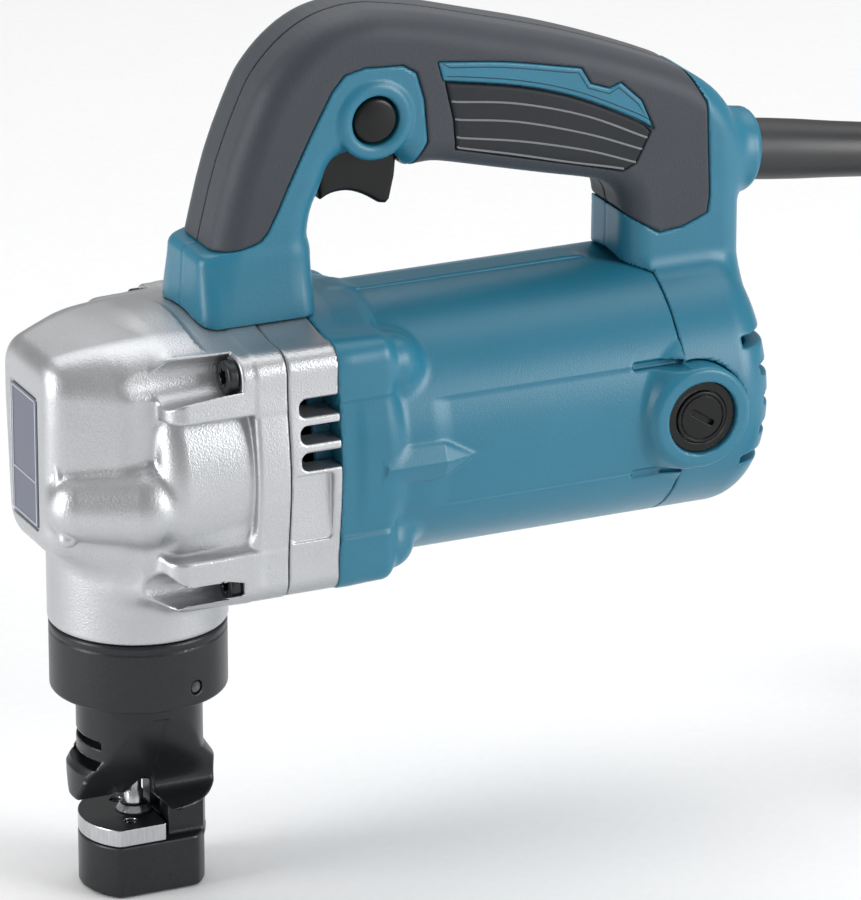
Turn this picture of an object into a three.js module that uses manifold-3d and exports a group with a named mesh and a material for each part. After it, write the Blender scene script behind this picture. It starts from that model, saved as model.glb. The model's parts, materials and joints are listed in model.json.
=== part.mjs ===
// A sheet-metal nibbler: a D-handled power tool whose crank drives a punch down through a fixed die.
// Millimetres. The origin is on the punch axis at the underside of the die holder, +X runs
// towards the back of the motor, +Z is up, and the tool's left side is -Y.
import * as THREE from 'three';
import { mergeVertices } from 'three/addons/utils/BufferGeometryUtils.js';
import { ConvexGeometry } from 'three/addons/geometries/ConvexGeometry.js';
import Module from 'manifold-3d';

const wasm = await Module();
wasm.setup();

// ---------------------------------------------------------------- driving dimensions
const GAP = 0.3; // between neighbours that rest on or are cut by each other
const RUN = 0.1; // radial clearance of what slides
const BEARING_FIT = 0.2; // radial clearance of a faceted shaft in its faceted bearing
const LEFT = -1;
const RIGHT = 1;

// motor and casings, along X
const MOTOR_Z = 132.8;
const BARREL_R = 40.4;
const CASE_R = 41;
const CASE_FRONT_X = -2;
const FLANGE_X = 16.8;
const CASE_REAR_X = 30.5;
const BOX_REAR_X = 46.5;
const FLANGE_REAR_X = 64;
const BARREL_REAR_X = 157;
const REAR_X = 188;
const SCREW_Y = 34;
const SCREW_Z = 31.4;
const CORNER_R = 6;
const BOSS_TIP_X = 76;
const BRUSH_X = 160.5;
const BRUSH_BOSS_R = 15.4;
const BRUSH_BOSS_Y = 44;
const BRUSH_CAP_R = 7.9;

// head and neck
const HEAD_FRONT_X = -33.6;
const HEAD_TOP_Z = 173;
const NECK_R = 26.3;
const NUT_R = 26;
const NUT_LOW_Z = 61.4;
const NUT_HIGH_Z = 82.4;

// cutting end, up Z
const HOLDER_R = 18.5;
const HOLDER_FLAT_Y = 14;
const COLLAR_R = 21.6;
const DIE_SEAT_Z = 15.8;
const DIE_TOP_Z = 21.5;
const DIE_CROWN_Z = 24.2;
const THROAT_TOP_Z = 28;
const PUNCH_X = -2.2;
const PUNCH_FOOT_R = 2.8;
const PUNCH_R = 5.5;
const STROKE = 9;

// gear train: turns about X
const PINION_TEETH = 9;
const WHEEL_TEETH = 39;
const FAST_MODULE = 0.9;
const COUNTER_TEETH = 11;
const CRANK_TEETH = 38;
const SLOW_MODULE = 1.2;
const COUNTER_Y = -13;
const FAST_CENTRES = (FAST_MODULE * (PINION_TEETH + WHEEL_TEETH)) / 2;
const SLOW_CENTRES = (SLOW_MODULE * (COUNTER_TEETH + CRANK_TEETH)) / 2;
const COUNTER_Z = MOTOR_Z - Math.sqrt(FAST_CENTRES ** 2 - COUNTER_Y ** 2);
const CRANK_Z = COUNTER_Z + Math.sqrt(SLOW_CENTRES ** 2 - COUNTER_Y ** 2);
const THROW = STROKE / 2;
const ROD_LENGTH = 26;

// handle
const HANDLE_HALF = 15.5;
const HANDLE_BEVEL = 6;
const SKIN = 1.6;
const WALL = 4;
const LOCK_X = 69;
const LOCK_Z = 227.4;

// cord
const CORD_D = 7.5;
const GUARD_START = new THREE.Vector3(192, 0, 198.1);
const GUARD_DROOP = THREE.MathUtils.degToRad(8);
const GUARD_LENGTH = 62;
const COIL_CENTRE = new THREE.Vector3(337, -37, 0);
const COIL_R = 41.25;
const COIL_BAND = 3 * CORD_D;
const TAIL_HEADING = new THREE.Vector3(-0.9397, 0.342, 0);
const PLUG_START = new THREE.Vector3(292.14, -72.55, 9.8);

// ---------------------------------------------------------------- materials
const finishes = {
  casting: { color: 0xb4b6b8, metalness: 0.85, roughness: 0.42 },
  teal: { color: 0x2f7690, metalness: 0.0, roughness: 0.42 },
  grip: { color: 0x3e3e46, metalness: 0.0, roughness: 0.75 },
  pad: { color: 0x2d2e32, metalness: 0.0, roughness: 0.8 },
  blackened: { color: 0x2c2f33, metalness: 0.75, roughness: 0.42 },
  bright: { color: 0xc6c8ca, metalness: 1.0, roughness: 0.28 },
  gear: { color: 0x84868a, metalness: 1.0, roughness: 0.35 },
  copper: { color: 0xb5683a, metalness: 1.0, roughness: 0.35 },
  bronze: { color: 0xa8804a, metalness: 1.0, roughness: 0.4 },
  laminate: { color: 0x6c6e72, metalness: 0.9, roughness: 0.5 },
  plastic: { color: 0x1c1d1f, metalness: 0.0, roughness: 0.5 },
  carbon: { color: 0x2a2a2c, metalness: 0.2, roughness: 0.6 },
  plate: { color: 0x4a4d58, metalness: 0.4, roughness: 0.4 },
  rubber: { color: 0x17181a, metalness: 0.0, roughness: 0.55 },
};

// ---------------------------------------------------------------- solids
function solid(geometry) {
  const bare = geometry.clone();
  bare.deleteAttribute('normal');
  bare.deleteAttribute('uv');
  const merged = mergeVertices(bare, 1e-4);
  const corners = merged.index.array;
  const kept = [];
  for (let i = 0; i < corners.length; i += 3) {
    const [a, b, c] = [corners[i], corners[i + 1], corners[i + 2]];
    if (a !== b && b !== c && c !== a) kept.push(a, b, c);
  }
  const vertProperties = new Float32Array(merged.attributes.position.array);
  const build = (triangles) =>
    new wasm.Manifold(new wasm.Mesh({ numProp: 3, vertProperties, triVerts: new Uint32Array(triangles) }));
  const body = build(kept);
  if (body.volume() > 0) return body;
  return build(kept.reverse());
}

function join(first, ...others) {
  return others.reduce((whole, other) => whole.add(other), first);
}

function cut(first, ...others) {
  return others.reduce((whole, other) => whole.subtract(other), first);
}

function block(x0, x1, y0, y1, z0, z1) {
  const box = new THREE.BoxGeometry(x1 - x0, y1 - y0, z1 - z0);
  return solid(box.translate((x0 + x1) / 2, (y0 + y1) / 2, (z0 + z1) / 2));
}

// A closed profile of [radius, height] turned about X, Y or Z.
function turned(axis, profile, centre = [0, 0, 0], sides = 32) {
  const points = profile.map(([radius, height]) => new THREE.Vector2(radius, height));
  const shape = new THREE.LatheGeometry(points, sides);
  if (axis === 'x') shape.rotateZ(-Math.PI / 2);
  if (axis === 'z') shape.rotateX(Math.PI / 2);
  return solid(shape.translate(...centre));
}

function drum(axis, radius, from, to, centre = [0, 0, 0], sides = 32) {
  return turned(axis, [[0, from], [radius, from], [radius, to], [0, to]], centre, sides);
}

function ring(axis, outer, inner, from, to, centre = [0, 0, 0], sides = 32) {
  const profile = [[inner, from], [outer, from], [outer, to], [inner, to], [inner, from]];
  return turned(axis, profile, centre, sides);
}

function motorLine(y = 0, z = MOTOR_Z) {
  return [0, y, z];
}

function flatShape(points) {
  return new THREE.Shape(points.map(([a, b]) => new THREE.Vector2(a, b)));
}

function extruded(points, depth, basis, start) {
  const shape = new THREE.ExtrudeGeometry(flatShape(points), { depth, bevelEnabled: false, steps: 1 });
  const place = new THREE.Matrix4().makeBasis(...basis).setPosition(start);
  return solid(shape.applyMatrix4(place));
}

const AXIS_X = new THREE.Vector3(1, 0, 0);
const AXIS_Y = new THREE.Vector3(0, 1, 0);
const AXIS_Z = new THREE.Vector3(0, 0, 1);
const BACK_Y = new THREE.Vector3(0, -1, 0);

// Outlines given as [y, z], [x, z] and [x, y] and pushed along X, Y and Z.
function prismX(points, x0, x1) {
  return extruded(points, x1 - x0, [AXIS_Y, AXIS_Z, AXIS_X], new THREE.Vector3(x0, 0, 0));
}

function prismY(points, y0, y1) {
  return extruded(points, y1 - y0, [AXIS_X, AXIS_Z, BACK_Y], new THREE.Vector3(0, y1, 0));
}

function prismZ(points, z0, z1) {
  return extruded(points, z1 - z0, [AXIS_X, AXIS_Y, AXIS_Z], new THREE.Vector3(0, 0, z0));
}

function hull(points) {
  return solid(new ConvexGeometry(points.map((point) => new THREE.Vector3(...point))));
}

function circle(radius, count, [a, b] = [0, 0], turn = 0) {
  return Array.from({ length: count }, (_, i) => {
    const angle = turn + (2 * Math.PI * i) / count;
    return [a + radius * Math.cos(angle), b + radius * Math.sin(angle)];
  });
}

// The corner points of a rounded rectangle with the given half-width and low and high edges.
function roundedBox(half, low, high, radius, count = 16) {
  const middle = (low + high) / 2;
  return circle(radius, count, [0, 0], Math.PI / count).map(([a, b]) => [
    a + Math.sign(a) * (half - radius),
    b + middle + Math.sign(b) * ((high - low) / 2 - radius),
  ]);
}

// Moves every edge of a closed outline inwards by a distance.
function inset(points, distance) {
  const area = points.reduce((sum, [a, b], i) => {
    const [c, d] = points[(i + 1) % points.length];
    return sum + a * d - b * c;
  }, 0);
  const side = Math.sign(area) * distance;
  return points.map((point, i) => {
    const before = points[(i + points.length - 1) % points.length];
    const after = points[(i + 1) % points.length];
    const into = new THREE.Vector2(point[0] - before[0], point[1] - before[1]).normalize();
    const out = new THREE.Vector2(after[0] - point[0], after[1] - point[1]).normalize();
    const normal = new THREE.Vector2(-into.y - out.y, into.x + out.x).normalize();
    const reach = side / Math.max(0.5, normal.dot(new THREE.Vector2(-into.y, into.x)));
    return [point[0] + normal.x * reach, point[1] + normal.y * reach];
  });
}

// An outline in X and Z, pushed both ways along Y, with its long edges rounded off.
function roundedPlate(points, half, bevel) {
  const shape = new THREE.ExtrudeGeometry(flatShape(points), {
    depth: 2 * (half - bevel),
    bevelEnabled: true,
    bevelThickness: bevel,
    bevelSize: bevel,
    bevelOffset: -bevel,
    bevelSegments: 2,
  });
  const place = new THREE.Matrix4().makeBasis(AXIS_X, AXIS_Z, BACK_Y);
  return solid(shape.applyMatrix4(place.setPosition(0, half - bevel, 0)));
}

// ---------------------------------------------------------------- casings
// Rounded square that all three casings share, grown by a margin.
function casingSection(margin = 0, count = 28) {
  const points = circle(CASE_R + margin, count, [0, MOTOR_Z], Math.PI / count);
  for (const y of [-SCREW_Y, SCREW_Y]) {
    for (const z of [MOTOR_Z - SCREW_Z, MOTOR_Z + SCREW_Z]) {
      points.push(...circle(CORNER_R + margin, 12, [y, z], Math.PI / 12));
    }
  }
  return points;
}

function casing(x0, x1, margin = 0) {
  const section = casingSection(margin);
  return hull([x0, x1].flatMap((x) => section.map(([y, z]) => [x, y, z])));
}

function cornerPlaces() {
  return [LEFT, RIGHT].flatMap((side) => [-1, 1].map((up) => [0, side * SCREW_Y, MOTOR_Z + up * SCREW_Z]));
}

function screwHoles(from, to) {
  return cornerPlaces().map((place) => drum('x', 3.2, from, to, place, 8));
}

function headShell() {
  const slice = (x, outline) => outline.map(([y, z]) => [x, y, z]);
  const face = slice(HEAD_FRONT_X, roundedBox(16.3, 112.5, 166, 9));
  const brow = slice(HEAD_FRONT_X + 2.5, roundedBox(18.8, 110, 168.5, 10));
  const cheek = slice(-13, roundedBox(29.5, 103.5, HEAD_TOP_Z, 13));
  const rear = slice(6, roundedBox(31, 103.5, HEAD_TOP_Z, 13));
  const shoulder = slice(1, circle(CASE_R - 2, 20, [0, MOTOR_Z], Math.PI / 20));
  const nose = hull([...face, ...brow, ...cheek, ...rear]);
  const blend = hull([...slice(-10, roundedBox(28.5, 105, HEAD_TOP_Z - 1, 13)), ...shoulder]);
  return join(nose, blend);
}

function sideLobe(side) {
  const ball = (x, y, z, radius) => {
    const shape = new THREE.IcosahedronGeometry(radius, 1).translate(x, side * y, z);
    const spots = shape.attributes.position;
    return Array.from({ length: spots.count }, (_, i) => [spots.getX(i), spots.getY(i), spots.getZ(i)]);
  };
  return hull([...ball(-17, 22, 126.5, 11), ...ball(-3, 25.5, 124.5, 12.5)]);
}

function crankHousing() {
  const shell = join(
    headShell(),
    sideLobe(LEFT),
    sideLobe(RIGHT),
    drum('x', CASE_R - 0.4, CASE_FRONT_X, CASE_REAR_X, motorLine(), 28),
    casing(FLANGE_X, CASE_REAR_X),
    drum('z', NECK_R, NUT_HIGH_Z + GAP, 116, [0, 0, 0], 40),
    drum('z', 21.7, 68.4, NUT_HIGH_Z + 1, [0, 0, 0], 32),
  );
  const counter = motorLine(COUNTER_Y, COUNTER_Z);
  const crank = motorLine(0, CRANK_Z);
  return cut(
    shell,
    drum('z', 15.4, 60, 82, [0, 0, 0], 24),
    drum('z', 12.8, 81, 118, [0, 0, 0], 32),
    drum('z', 9.6, 112, 128, [0, 0, 0], 24),
    block(-8, 7, -20.5, 20.5, 112, 162.5),
    drum('x', 12.4, -18, 14, crank, 24),
    drum('x', 8.3, 6.8, 14, counter, 24),
    drum('x', 25, 13.2, 31, crank, 24),
    drum('x', 19.5, 13.2, 31, counter, 24),
    ...screwHoles(FLANGE_X - 1, CASE_REAR_X + 1),
    ...cornerPlaces().map((place) => drum('x', 5.6, -4, FLANGE_X, place, 16)),
    block(-40, HEAD_FRONT_X + 0.6, -9.4, 9.4, 118, 156.4),
  );
}

function headPlate() {
  return prismX(roundedBox(9, 118.4, 156, 1.5, 8), HEAD_FRONT_X - 0.2, HEAD_FRONT_X + 0.3);
}

function ventSlots(x0, x1) {
  const lows = [150.8, 143, 135.2];
  return [LEFT, RIGHT].flatMap((side) =>
    lows.map((low) => {
      const sides = [side * 27, side * 46].sort((a, b) => a - b);
      return block(x0, x1, ...sides, low, low + 5.4);
    }),
  );
}

function bearingBox() {
  const front = CASE_REAR_X + GAP;
  return cut(
    casing(front, BOX_REAR_X),
    drum('x', 34.5, 38, BOX_REAR_X + 1, motorLine(), 32),
    drum('x', 11.3, front - 1, 39, motorLine(), 24),
    drum('x', 8.3, front - 1, 36.6, motorLine(COUNTER_Y, COUNTER_Z), 24),
    ...ventSlots(34, BOX_REAR_X + 1),
    ...screwHoles(front - 1, BOX_REAR_X + 1),
  );
}

function brushBoss(side) {
  const profile = [
    [0, 30], [BRUSH_BOSS_R, 30], [BRUSH_BOSS_R, 43], [BRUSH_BOSS_R - 1, BRUSH_BOSS_Y],
    [0, BRUSH_BOSS_Y],
  ];
  const placed = profile.map(([radius, height]) => [radius, side * height]);
  return turned('y', placed, [BRUSH_X, 0, MOTOR_Z], 32);
}

function motorHousing() {
  const front = BOX_REAR_X + GAP;
  const boss = (y, z) => {
    const slice = (x, radius) => circle(radius, 10, [y, z]).map(([a, b]) => [x, a, b]);
    const root = [...slice(FLANGE_REAR_X - 8, CORNER_R), ...slice(FLANGE_REAR_X + 5, CORNER_R - 1)];
    return hull([...root, ...slice(BOSS_TIP_X, 2)]);
  };
  const shell = join(
    casing(front, FLANGE_REAR_X),
    ...cornerPlaces().map(([, y, z]) => boss(y * 0.97, MOTOR_Z + (z - MOTOR_Z) * 0.97)),
    drum('x', BARREL_R, FLANGE_REAR_X - 1, BARREL_REAR_X, motorLine(), 40),
    drum('x', 36.4, BARREL_REAR_X - 1, 181, motorLine(), 28),
    brushBoss(LEFT),
    brushBoss(RIGHT),
  );
  const slots = [LEFT, RIGHT].flatMap((side) =>
    [115, 148].map((low) => {
      const sides = [side * 35, side * 42].sort((a, b) => a - b);
      return block(141, BARREL_REAR_X + 1, ...sides, low, low + 1.7);
    }),
  );
  return cut(
    shell,
    drum('x', 36.4, front - 1, 137, motorLine(), 28),
    drum('x', 33, 136, 174, motorLine(), 24),
    drum('x', 10.3, 173, 182, motorLine(), 24),
    drum('y', 6.4, -41, 41, [BRUSH_X, 0, MOTOR_Z], 16),
    drum('y', 11, -46, -41.6, [BRUSH_X, 0, MOTOR_Z], 24),
    drum('y', 11, 41.6, 46, [BRUSH_X, 0, MOTOR_Z], 24),
    drum('y', 8.2, -43, -39.5, [BRUSH_X, 0, MOTOR_Z], 24),
    drum('y', 8.2, 39.5, 43, [BRUSH_X, 0, MOTOR_Z], 24),
    ...screwHoles(front - 1, 60),
    ...slots,
  );
}

function caseScrew(place) {
  const seat = FLANGE_X - GAP;
  const profile = [
    [0, seat - 3], [4.4, seat - 3], [5, seat - 2.4], [5, seat], [2.9, seat], [2.9, 58], [0, 58],
  ];
  const socket = drum('x', 2.5, 9, seat - 1.4, place, 6);
  return cut(turned('x', profile, place, 12), socket);
}

// ---------------------------------------------------------------- handle
function handleOutline() {
  const frontLeg = [[15.5, 174.2], [19.6, 192.8], [25.9, 216.8], [33.9, 236.2], [38.6, 243.6], [44.7, 249.8]];
  const top = [[51.5, 254.4], [58.9, 257.2], [69, 258.4], [79, 257], [90, 254.7], [109, 249.5], [128, 244.1]];
  const rearTop = [
    [147.4, 237.4], [166.9, 229.4], [176.7, 223.6], [183.2, 217.2], [187.2, 209.5], [REAR_X, 200],
  ];
  const rearLeg = [[REAR_X, 140], [149.5, 140], [149.5, 188]];
  const underside = [
    [148, 193.4], [144, 197.2], [138, 199.2], [124, 202.5], [105, 207.2], [91, 210.6], [80, 211.6],
  ];
  const frontInner = [[66, 213.2], [59, 212.4], [54, 208], [51, 201], [49.6, 190], [49.5, 174.2]];
  return [...frontLeg, ...top, ...rearTop, ...rearLeg, ...underside, ...frontInner];
}

// Side view of the soft overmoulding, larger than the handle where it wraps round its edge.
function overmouldOutline() {
  const frontEdge = [[4, 191], [21, 193.5], [30.5, 195], [35.6, 198.6], [42.2, 212], [49.1, 225.7]];
  const window = [
    [55.7, 237.6], [59.5, 242], [66, 243.4], [77.8, 242.7], [82, 240], [84.4, 231.8], [85.5, 219],
  ];
  const under = [[82.5, 211], [82, 196], [140, 184], [147.6, 189.6], [151.9, 186], [159.7, 181.2]];
  const rear = [[167.2, 182], [175.3, 185.2], [176, 190.6], [175, 218.6], [169.5, 229], [176, 245]];
  return [...frontEdge, ...window, ...under, ...rear, [176, 275], [4, 275]];
}

const ACCENT_TOP = [
  [88.7, 242.2], [110.2, 239.5], [134, 234.6], [137, 229.6], [143, 227.4], [146.6, 228.7],
  [153.4, 222.4],
];
const ACCENT_BOTTOM = [[157.4, 213.3], [151.5, 217.2], [132.5, 226.3], [114, 232.1], [90.3, 236.6]];
const PAD_TOP = [[91, 235.9], [114, 231.5], [132.5, 225.7], [151.5, 216.6], [156.4, 212.6]];
const PAD_BOTTOM = [[151.7, 203.6], [147.5, 201.6], [94.4, 215.4], [93.6, 224.6]];
const TRIGGER_LOW = [
  [53.5, 213], [54.3, 203.2], [58, 204.6], [63, 204.6], [68, 203], [73, 199.9], [76.3, 199.7],
  [79.2, 213],
];

function guardFrame() {
  return new THREE.Matrix4().makeRotationY(Math.PI / 2 + GUARD_DROOP).setPosition(GUARD_START);
}

// A profile of [radius, distance] turned about the line along which the cord leaves the handle.
function alongGuard(profile, sides) {
  const points = profile.map(([radius, height]) => new THREE.Vector2(radius, height));
  const shape = new THREE.LatheGeometry(points, sides).rotateX(Math.PI / 2);
  return solid(shape.applyMatrix4(guardFrame()));
}

function rearCover() {
  const curve = [
    [BARREL_R, BARREL_REAR_X + GAP], [BARREL_R, 173], [39.6, 178], [36.6, 183], [31, 186.6],
    [24, REAR_X],
  ];
  return turned('x', [[0, BARREL_REAR_X + GAP], ...curve, [0, REAR_X]], motorLine(), 40);
}

function handleFoot() {
  const low = roundedBox(18.5, 0, 34, 4, 8).map(([y, x]) => [x + 14.5, y, 166]);
  const high = roundedBox(14, 0, 28, 4, 8).map(([y, x]) => [x + 20.5, y, 192]);
  return hull([...low, ...high]);
}

const outerHandle = join(
  roundedPlate(handleOutline(), HANDLE_HALF, HANDLE_BEVEL),
  rearCover(),
  handleFoot(),
  alongGuard([[0, -10], [13.4, -10], [13.4, 0.5], [12.2, 3], [0, 3]], 24),
);
const CORE_INSET = SKIN + GAP;
const coreOutline = inset(handleOutline(), CORE_INSET);
const handleCore = roundedPlate(coreOutline, HANDLE_HALF - CORE_INSET, HANDLE_BEVEL - 1);
const skinBed = roundedPlate(inset(handleOutline(), SKIN), HANDLE_HALF - SKIN, HANDLE_BEVEL - 1);

function sideOf(side) {
  return side === LEFT ? block(-60, 260, -80, -GAP / 2, 0, 300) : block(-60, 260, GAP / 2, 80, 0, 300);
}

function sidePlate(points, side, from, to) {
  const sides = [side * from, side * to].sort((a, b) => a - b);
  return prismY(points, ...sides);
}

function handleShell(side) {
  const region = prismY(overmouldOutline(), -30, 30);
  const hollow = prismY(inset(handleOutline(), WALL), WALL - HANDLE_HALF, HANDLE_HALF - WALL);
  const bosses = [LEFT, RIGHT].map((end) => {
    const sides = [end * 30, end * 50].sort((a, b) => a - b);
    return drum('y', BRUSH_BOSS_R + GAP, ...sides, [BRUSH_X, 0, MOTOR_Z], 32);
  });
  const shell = cut(
    outerHandle,
    cut(region, handleCore),
    hollow,
    drum('x', 37, BARREL_REAR_X, 182.5, motorLine(), 28),
    drum('x', BARREL_R + GAP, 120, BARREL_REAR_X + GAP, motorLine(), 40),
    drum('x', 11, 182, 184.5, motorLine(), 24),
    casing(10, 66, GAP),
    block(10, 49.7, -9, 9, 160, 190),
    ...bosses,
    alongGuard([[0, -12], [9.4, -12], [9.4, 6], [0, 6]], 24),
    prismY(inset(TRIGGER_LOW, -0.5), -10, 10),
    block(53, 79.7, -10, 10, 212, 222),
    drum('y', 7.2, -20, -8, [LOCK_X, 0, LOCK_Z], 24),
    rearVents(),
  );
  return shell.intersect(sideOf(side));
}

function rearVents() {
  const heights = [-18, -9, 0, 9, 18];
  const slots = [LEFT, RIGHT].flatMap((side) =>
    heights.map((height) => {
      const sides = [side * 19, side * 31].sort((a, b) => a - b);
      return block(179, REAR_X + 2, ...sides, MOTOR_Z + height - 2, MOTOR_Z + height + 2);
    }),
  );
  return join(...slots);
}

function gripSkin(side) {
  const region = prismY(inset(overmouldOutline(), GAP), -30, 30);
  const openings = [
    sidePlate(inset([...ACCENT_TOP, ...ACCENT_BOTTOM], -GAP), side, 5, 25),
    sidePlate(inset([...PAD_TOP, ...PAD_BOTTOM], -GAP), side, 5, 25),
  ];
  const guardRoom = alongGuard([[0, -20], [14, -20], [14, 10], [0, 10]], 24);
  const skin = cut(roundedPlate(handleOutline(), HANDLE_HALF, HANDLE_BEVEL), skinBed, guardRoom, ...openings);
  return skin.intersect(region).intersect(sideOf(side));
}

function sideInlay(points, side, proud) {
  return sidePlate(points, side, HANDLE_HALF - SKIN, HANDLE_HALF + proud).intersect(
    roundedPlate(inset(handleOutline(), -proud), HANDLE_HALF + proud, HANDLE_BEVEL),
  );
}

function trigger() {
  return join(prismY(TRIGGER_LOW, -9.5, 9.5), block(56, 78, -6.8, 6.8, 212.5, 222));
}

function lockButton() {
  const profile = [[0, -16.4], [5.8, -16.4], [6.8, -15.6], [6.8, -10.6], [0, -10.6]];
  return turned('y', profile, [LOCK_X, 0, LOCK_Z], 24);
}

// ---------------------------------------------------------------- gears and motor
function gearOutline(teeth, size, centre, toothAt) {
  const pitch = (2 * Math.PI) / teeth;
  const radius = (teeth * size) / 2;
  const tooth = [[-0.29, -1.25], [-0.12, 0.9], [0.12, 0.9], [0.29, -1.25]];
  return Array.from({ length: teeth }, (_, i) =>
    tooth.map(([turn, rise]) => {
      const angle = toothAt + (i + turn) * pitch;
      const reach = radius + rise * size;
      return [centre[0] + reach * Math.cos(angle), centre[1] + reach * Math.sin(angle)];
    }),
  ).flat();
}

const MOTOR_AT = [0, MOTOR_Z];
const COUNTER_AT = [COUNTER_Y, COUNTER_Z];
const CRANK_AT = [0, CRANK_Z];

function bearing(from, to, outer, inner, centre) {
  return ring('x', outer, inner, from, to, motorLine(...centre), 16);
}

function heading(from, to) {
  return Math.atan2(to[1] - from[1], to[0] - from[0]);
}

function gear(teeth, size, centre, toothAt, x0, x1, bore) {
  return cut(
    prismX(gearOutline(teeth, size, centre, toothAt), x0, x1),
    drum('x', bore, x0 - 1, x1 + 1, motorLine(...centre), 24),
  );
}

function armatureShaft() {
  const toothAt = heading(MOTOR_AT, COUNTER_AT);
  return join(
    prismX(gearOutline(PINION_TEETH, FAST_MODULE, MOTOR_AT, toothAt), 22, 30.5),
    drum('x', 5, 30.4, 180.5, motorLine(), 20),
  );
}

function armatureCore() {
  const profile = [
    [5.2, 66], [14, 66], [16, 70], [19, 74], [19, 134], [16, 138], [14, 146], [5.2, 146], [5.2, 66],
  ];
  return turned('x', profile, motorLine(), 18);
}

function fan() {
  const blades = Array.from({ length: 9 }, (_, i) => {
    const turn = (2 * Math.PI * i) / 9;
    const blade = new THREE.BoxGeometry(6.6, 18, 1.6).translate(43.1, 20, 0).rotateX(turn);
    return solid(blade.translate(...motorLine()));
  });
  const disc = ring('x', 30.5, 5.2, 46, 47.6, motorLine(), 24);
  return join(disc, ring('x', 12, 5.2, 40, 46.2, motorLine(), 12), ...blades);
}

function stator() {
  return ring('x', 35.9, 20.3, 74, 134, motorLine(), 24);
}

function countershaft() {
  const toothAt = heading(COUNTER_AT, CRANK_AT);
  const line = motorLine(...COUNTER_AT);
  return join(
    prismX(gearOutline(COUNTER_TEETH, SLOW_MODULE, COUNTER_AT, toothAt), 14, 21.4),
    drum('x', 4, 9.3, 36, line, 16),
  );
}

function reductionGear() {
  const gapAt = heading(COUNTER_AT, MOTOR_AT) + Math.PI / WHEEL_TEETH;
  return gear(WHEEL_TEETH, FAST_MODULE, COUNTER_AT, gapAt, 22, 29, 4.1);
}

function crankGear() {
  const gapAt = heading(CRANK_AT, COUNTER_AT) + Math.PI / CRANK_TEETH;
  return gear(CRANK_TEETH, SLOW_MODULE, CRANK_AT, gapAt, 14.4, 20.8, 6.1);
}

function crankShaft() {
  const line = motorLine(...CRANK_AT);
  return join(
    drum('x', 6, -17.4, 20.8, line, 20),
    drum('x', 11, -5.6, 5.6, motorLine(0, CRANK_Z + THROW), 32),
  );
}

function conRod() {
  const big = [0, CRANK_Z + THROW];
  const small = [0, CRANK_Z + THROW - ROD_LENGTH];
  const shank = block(-3.4, 3.4, -4, 4, small[1], big[1] - 11.6);
  return cut(
    join(
      drum('x', 15, -4.8, 4.8, motorLine(...big), 32),
      drum('x', 5.4, -4.4, 4.4, motorLine(...small), 20),
      shank,
    ),
    drum('x', 11 + RUN, -6, 6, motorLine(...big), 32),
    drum('x', 2.6, -6, 6, motorLine(...small), 16),
  );
}

function wristPin() {
  return drum('x', 2.5, -4.9, 4.9, motorLine(0, CRANK_Z + THROW - ROD_LENGTH), 16);
}

function brushHolder(side) {
  const sides = [side * 15, side * 38.6].sort((a, b) => a - b);
  const slot = [side * 14, side * 40].sort((a, b) => a - b);
  return cut(
    drum('y', 6.2, ...sides, [BRUSH_X, 0, MOTOR_Z], 16),
    block(BRUSH_X - 3.4, BRUSH_X + 3.4, ...slot, MOTOR_Z - 4.4, MOTOR_Z + 4.4),
  );
}

function carbonBrush(side) {
  const sides = [side * 13.4, side * 30].sort((a, b) => a - b);
  return block(BRUSH_X - 3.1, BRUSH_X + 3.1, ...sides, MOTOR_Z - 4.1, MOTOR_Z + 4.1);
}

function brushCap(side) {
  const profile = [[0, 39.8], [BRUSH_CAP_R, 39.8], [BRUSH_CAP_R, 42.4], [BRUSH_CAP_R - 0.6, 43], [0, 43]];
  const cap = turned('y', profile.map(([radius, y]) => [radius, side * y]), [BRUSH_X, 0, MOTOR_Z], 24);
  const slot = new THREE.BoxGeometry(11, 3, 1.6).rotateY(0.6).translate(BRUSH_X, side * 43.4, MOTOR_Z);
  return cut(cap, solid(slot));
}

// ---------------------------------------------------------------- cutting end
function ram() {
  const body = drum('z', 9, 76.6, 127, [0, 0, 0], 24);
  return cut(body, block(-5.4, 5.4, -12, 12, 104.6, 130));
}

function guideSleeve() {
  return ring('z', 12.5, 9 + RUN, 83, 104, [0, 0, 0], 24);
}

function punch() {
  return join(
    drum('z', PUNCH_FOOT_R, 17, 27.9, [PUNCH_X, 0, 0], 20),
    drum('z', 2.3, 27.8, 35, [PUNCH_X, 0, 0], 20),
    drum('z', PUNCH_R, 34, 72.2, [0, 0, 0], 24),
    drum('z', 8, 72, 76.2, [0, 0, 0], 24),
  );
}

function footSection(margin = 0) {
  const count = 32;
  const limit = HOLDER_FLAT_Y + margin;
  return circle(HOLDER_R + margin, count).map(([x, y]) => [x, Math.max(-limit, Math.min(limit, y))]);
}

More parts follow.
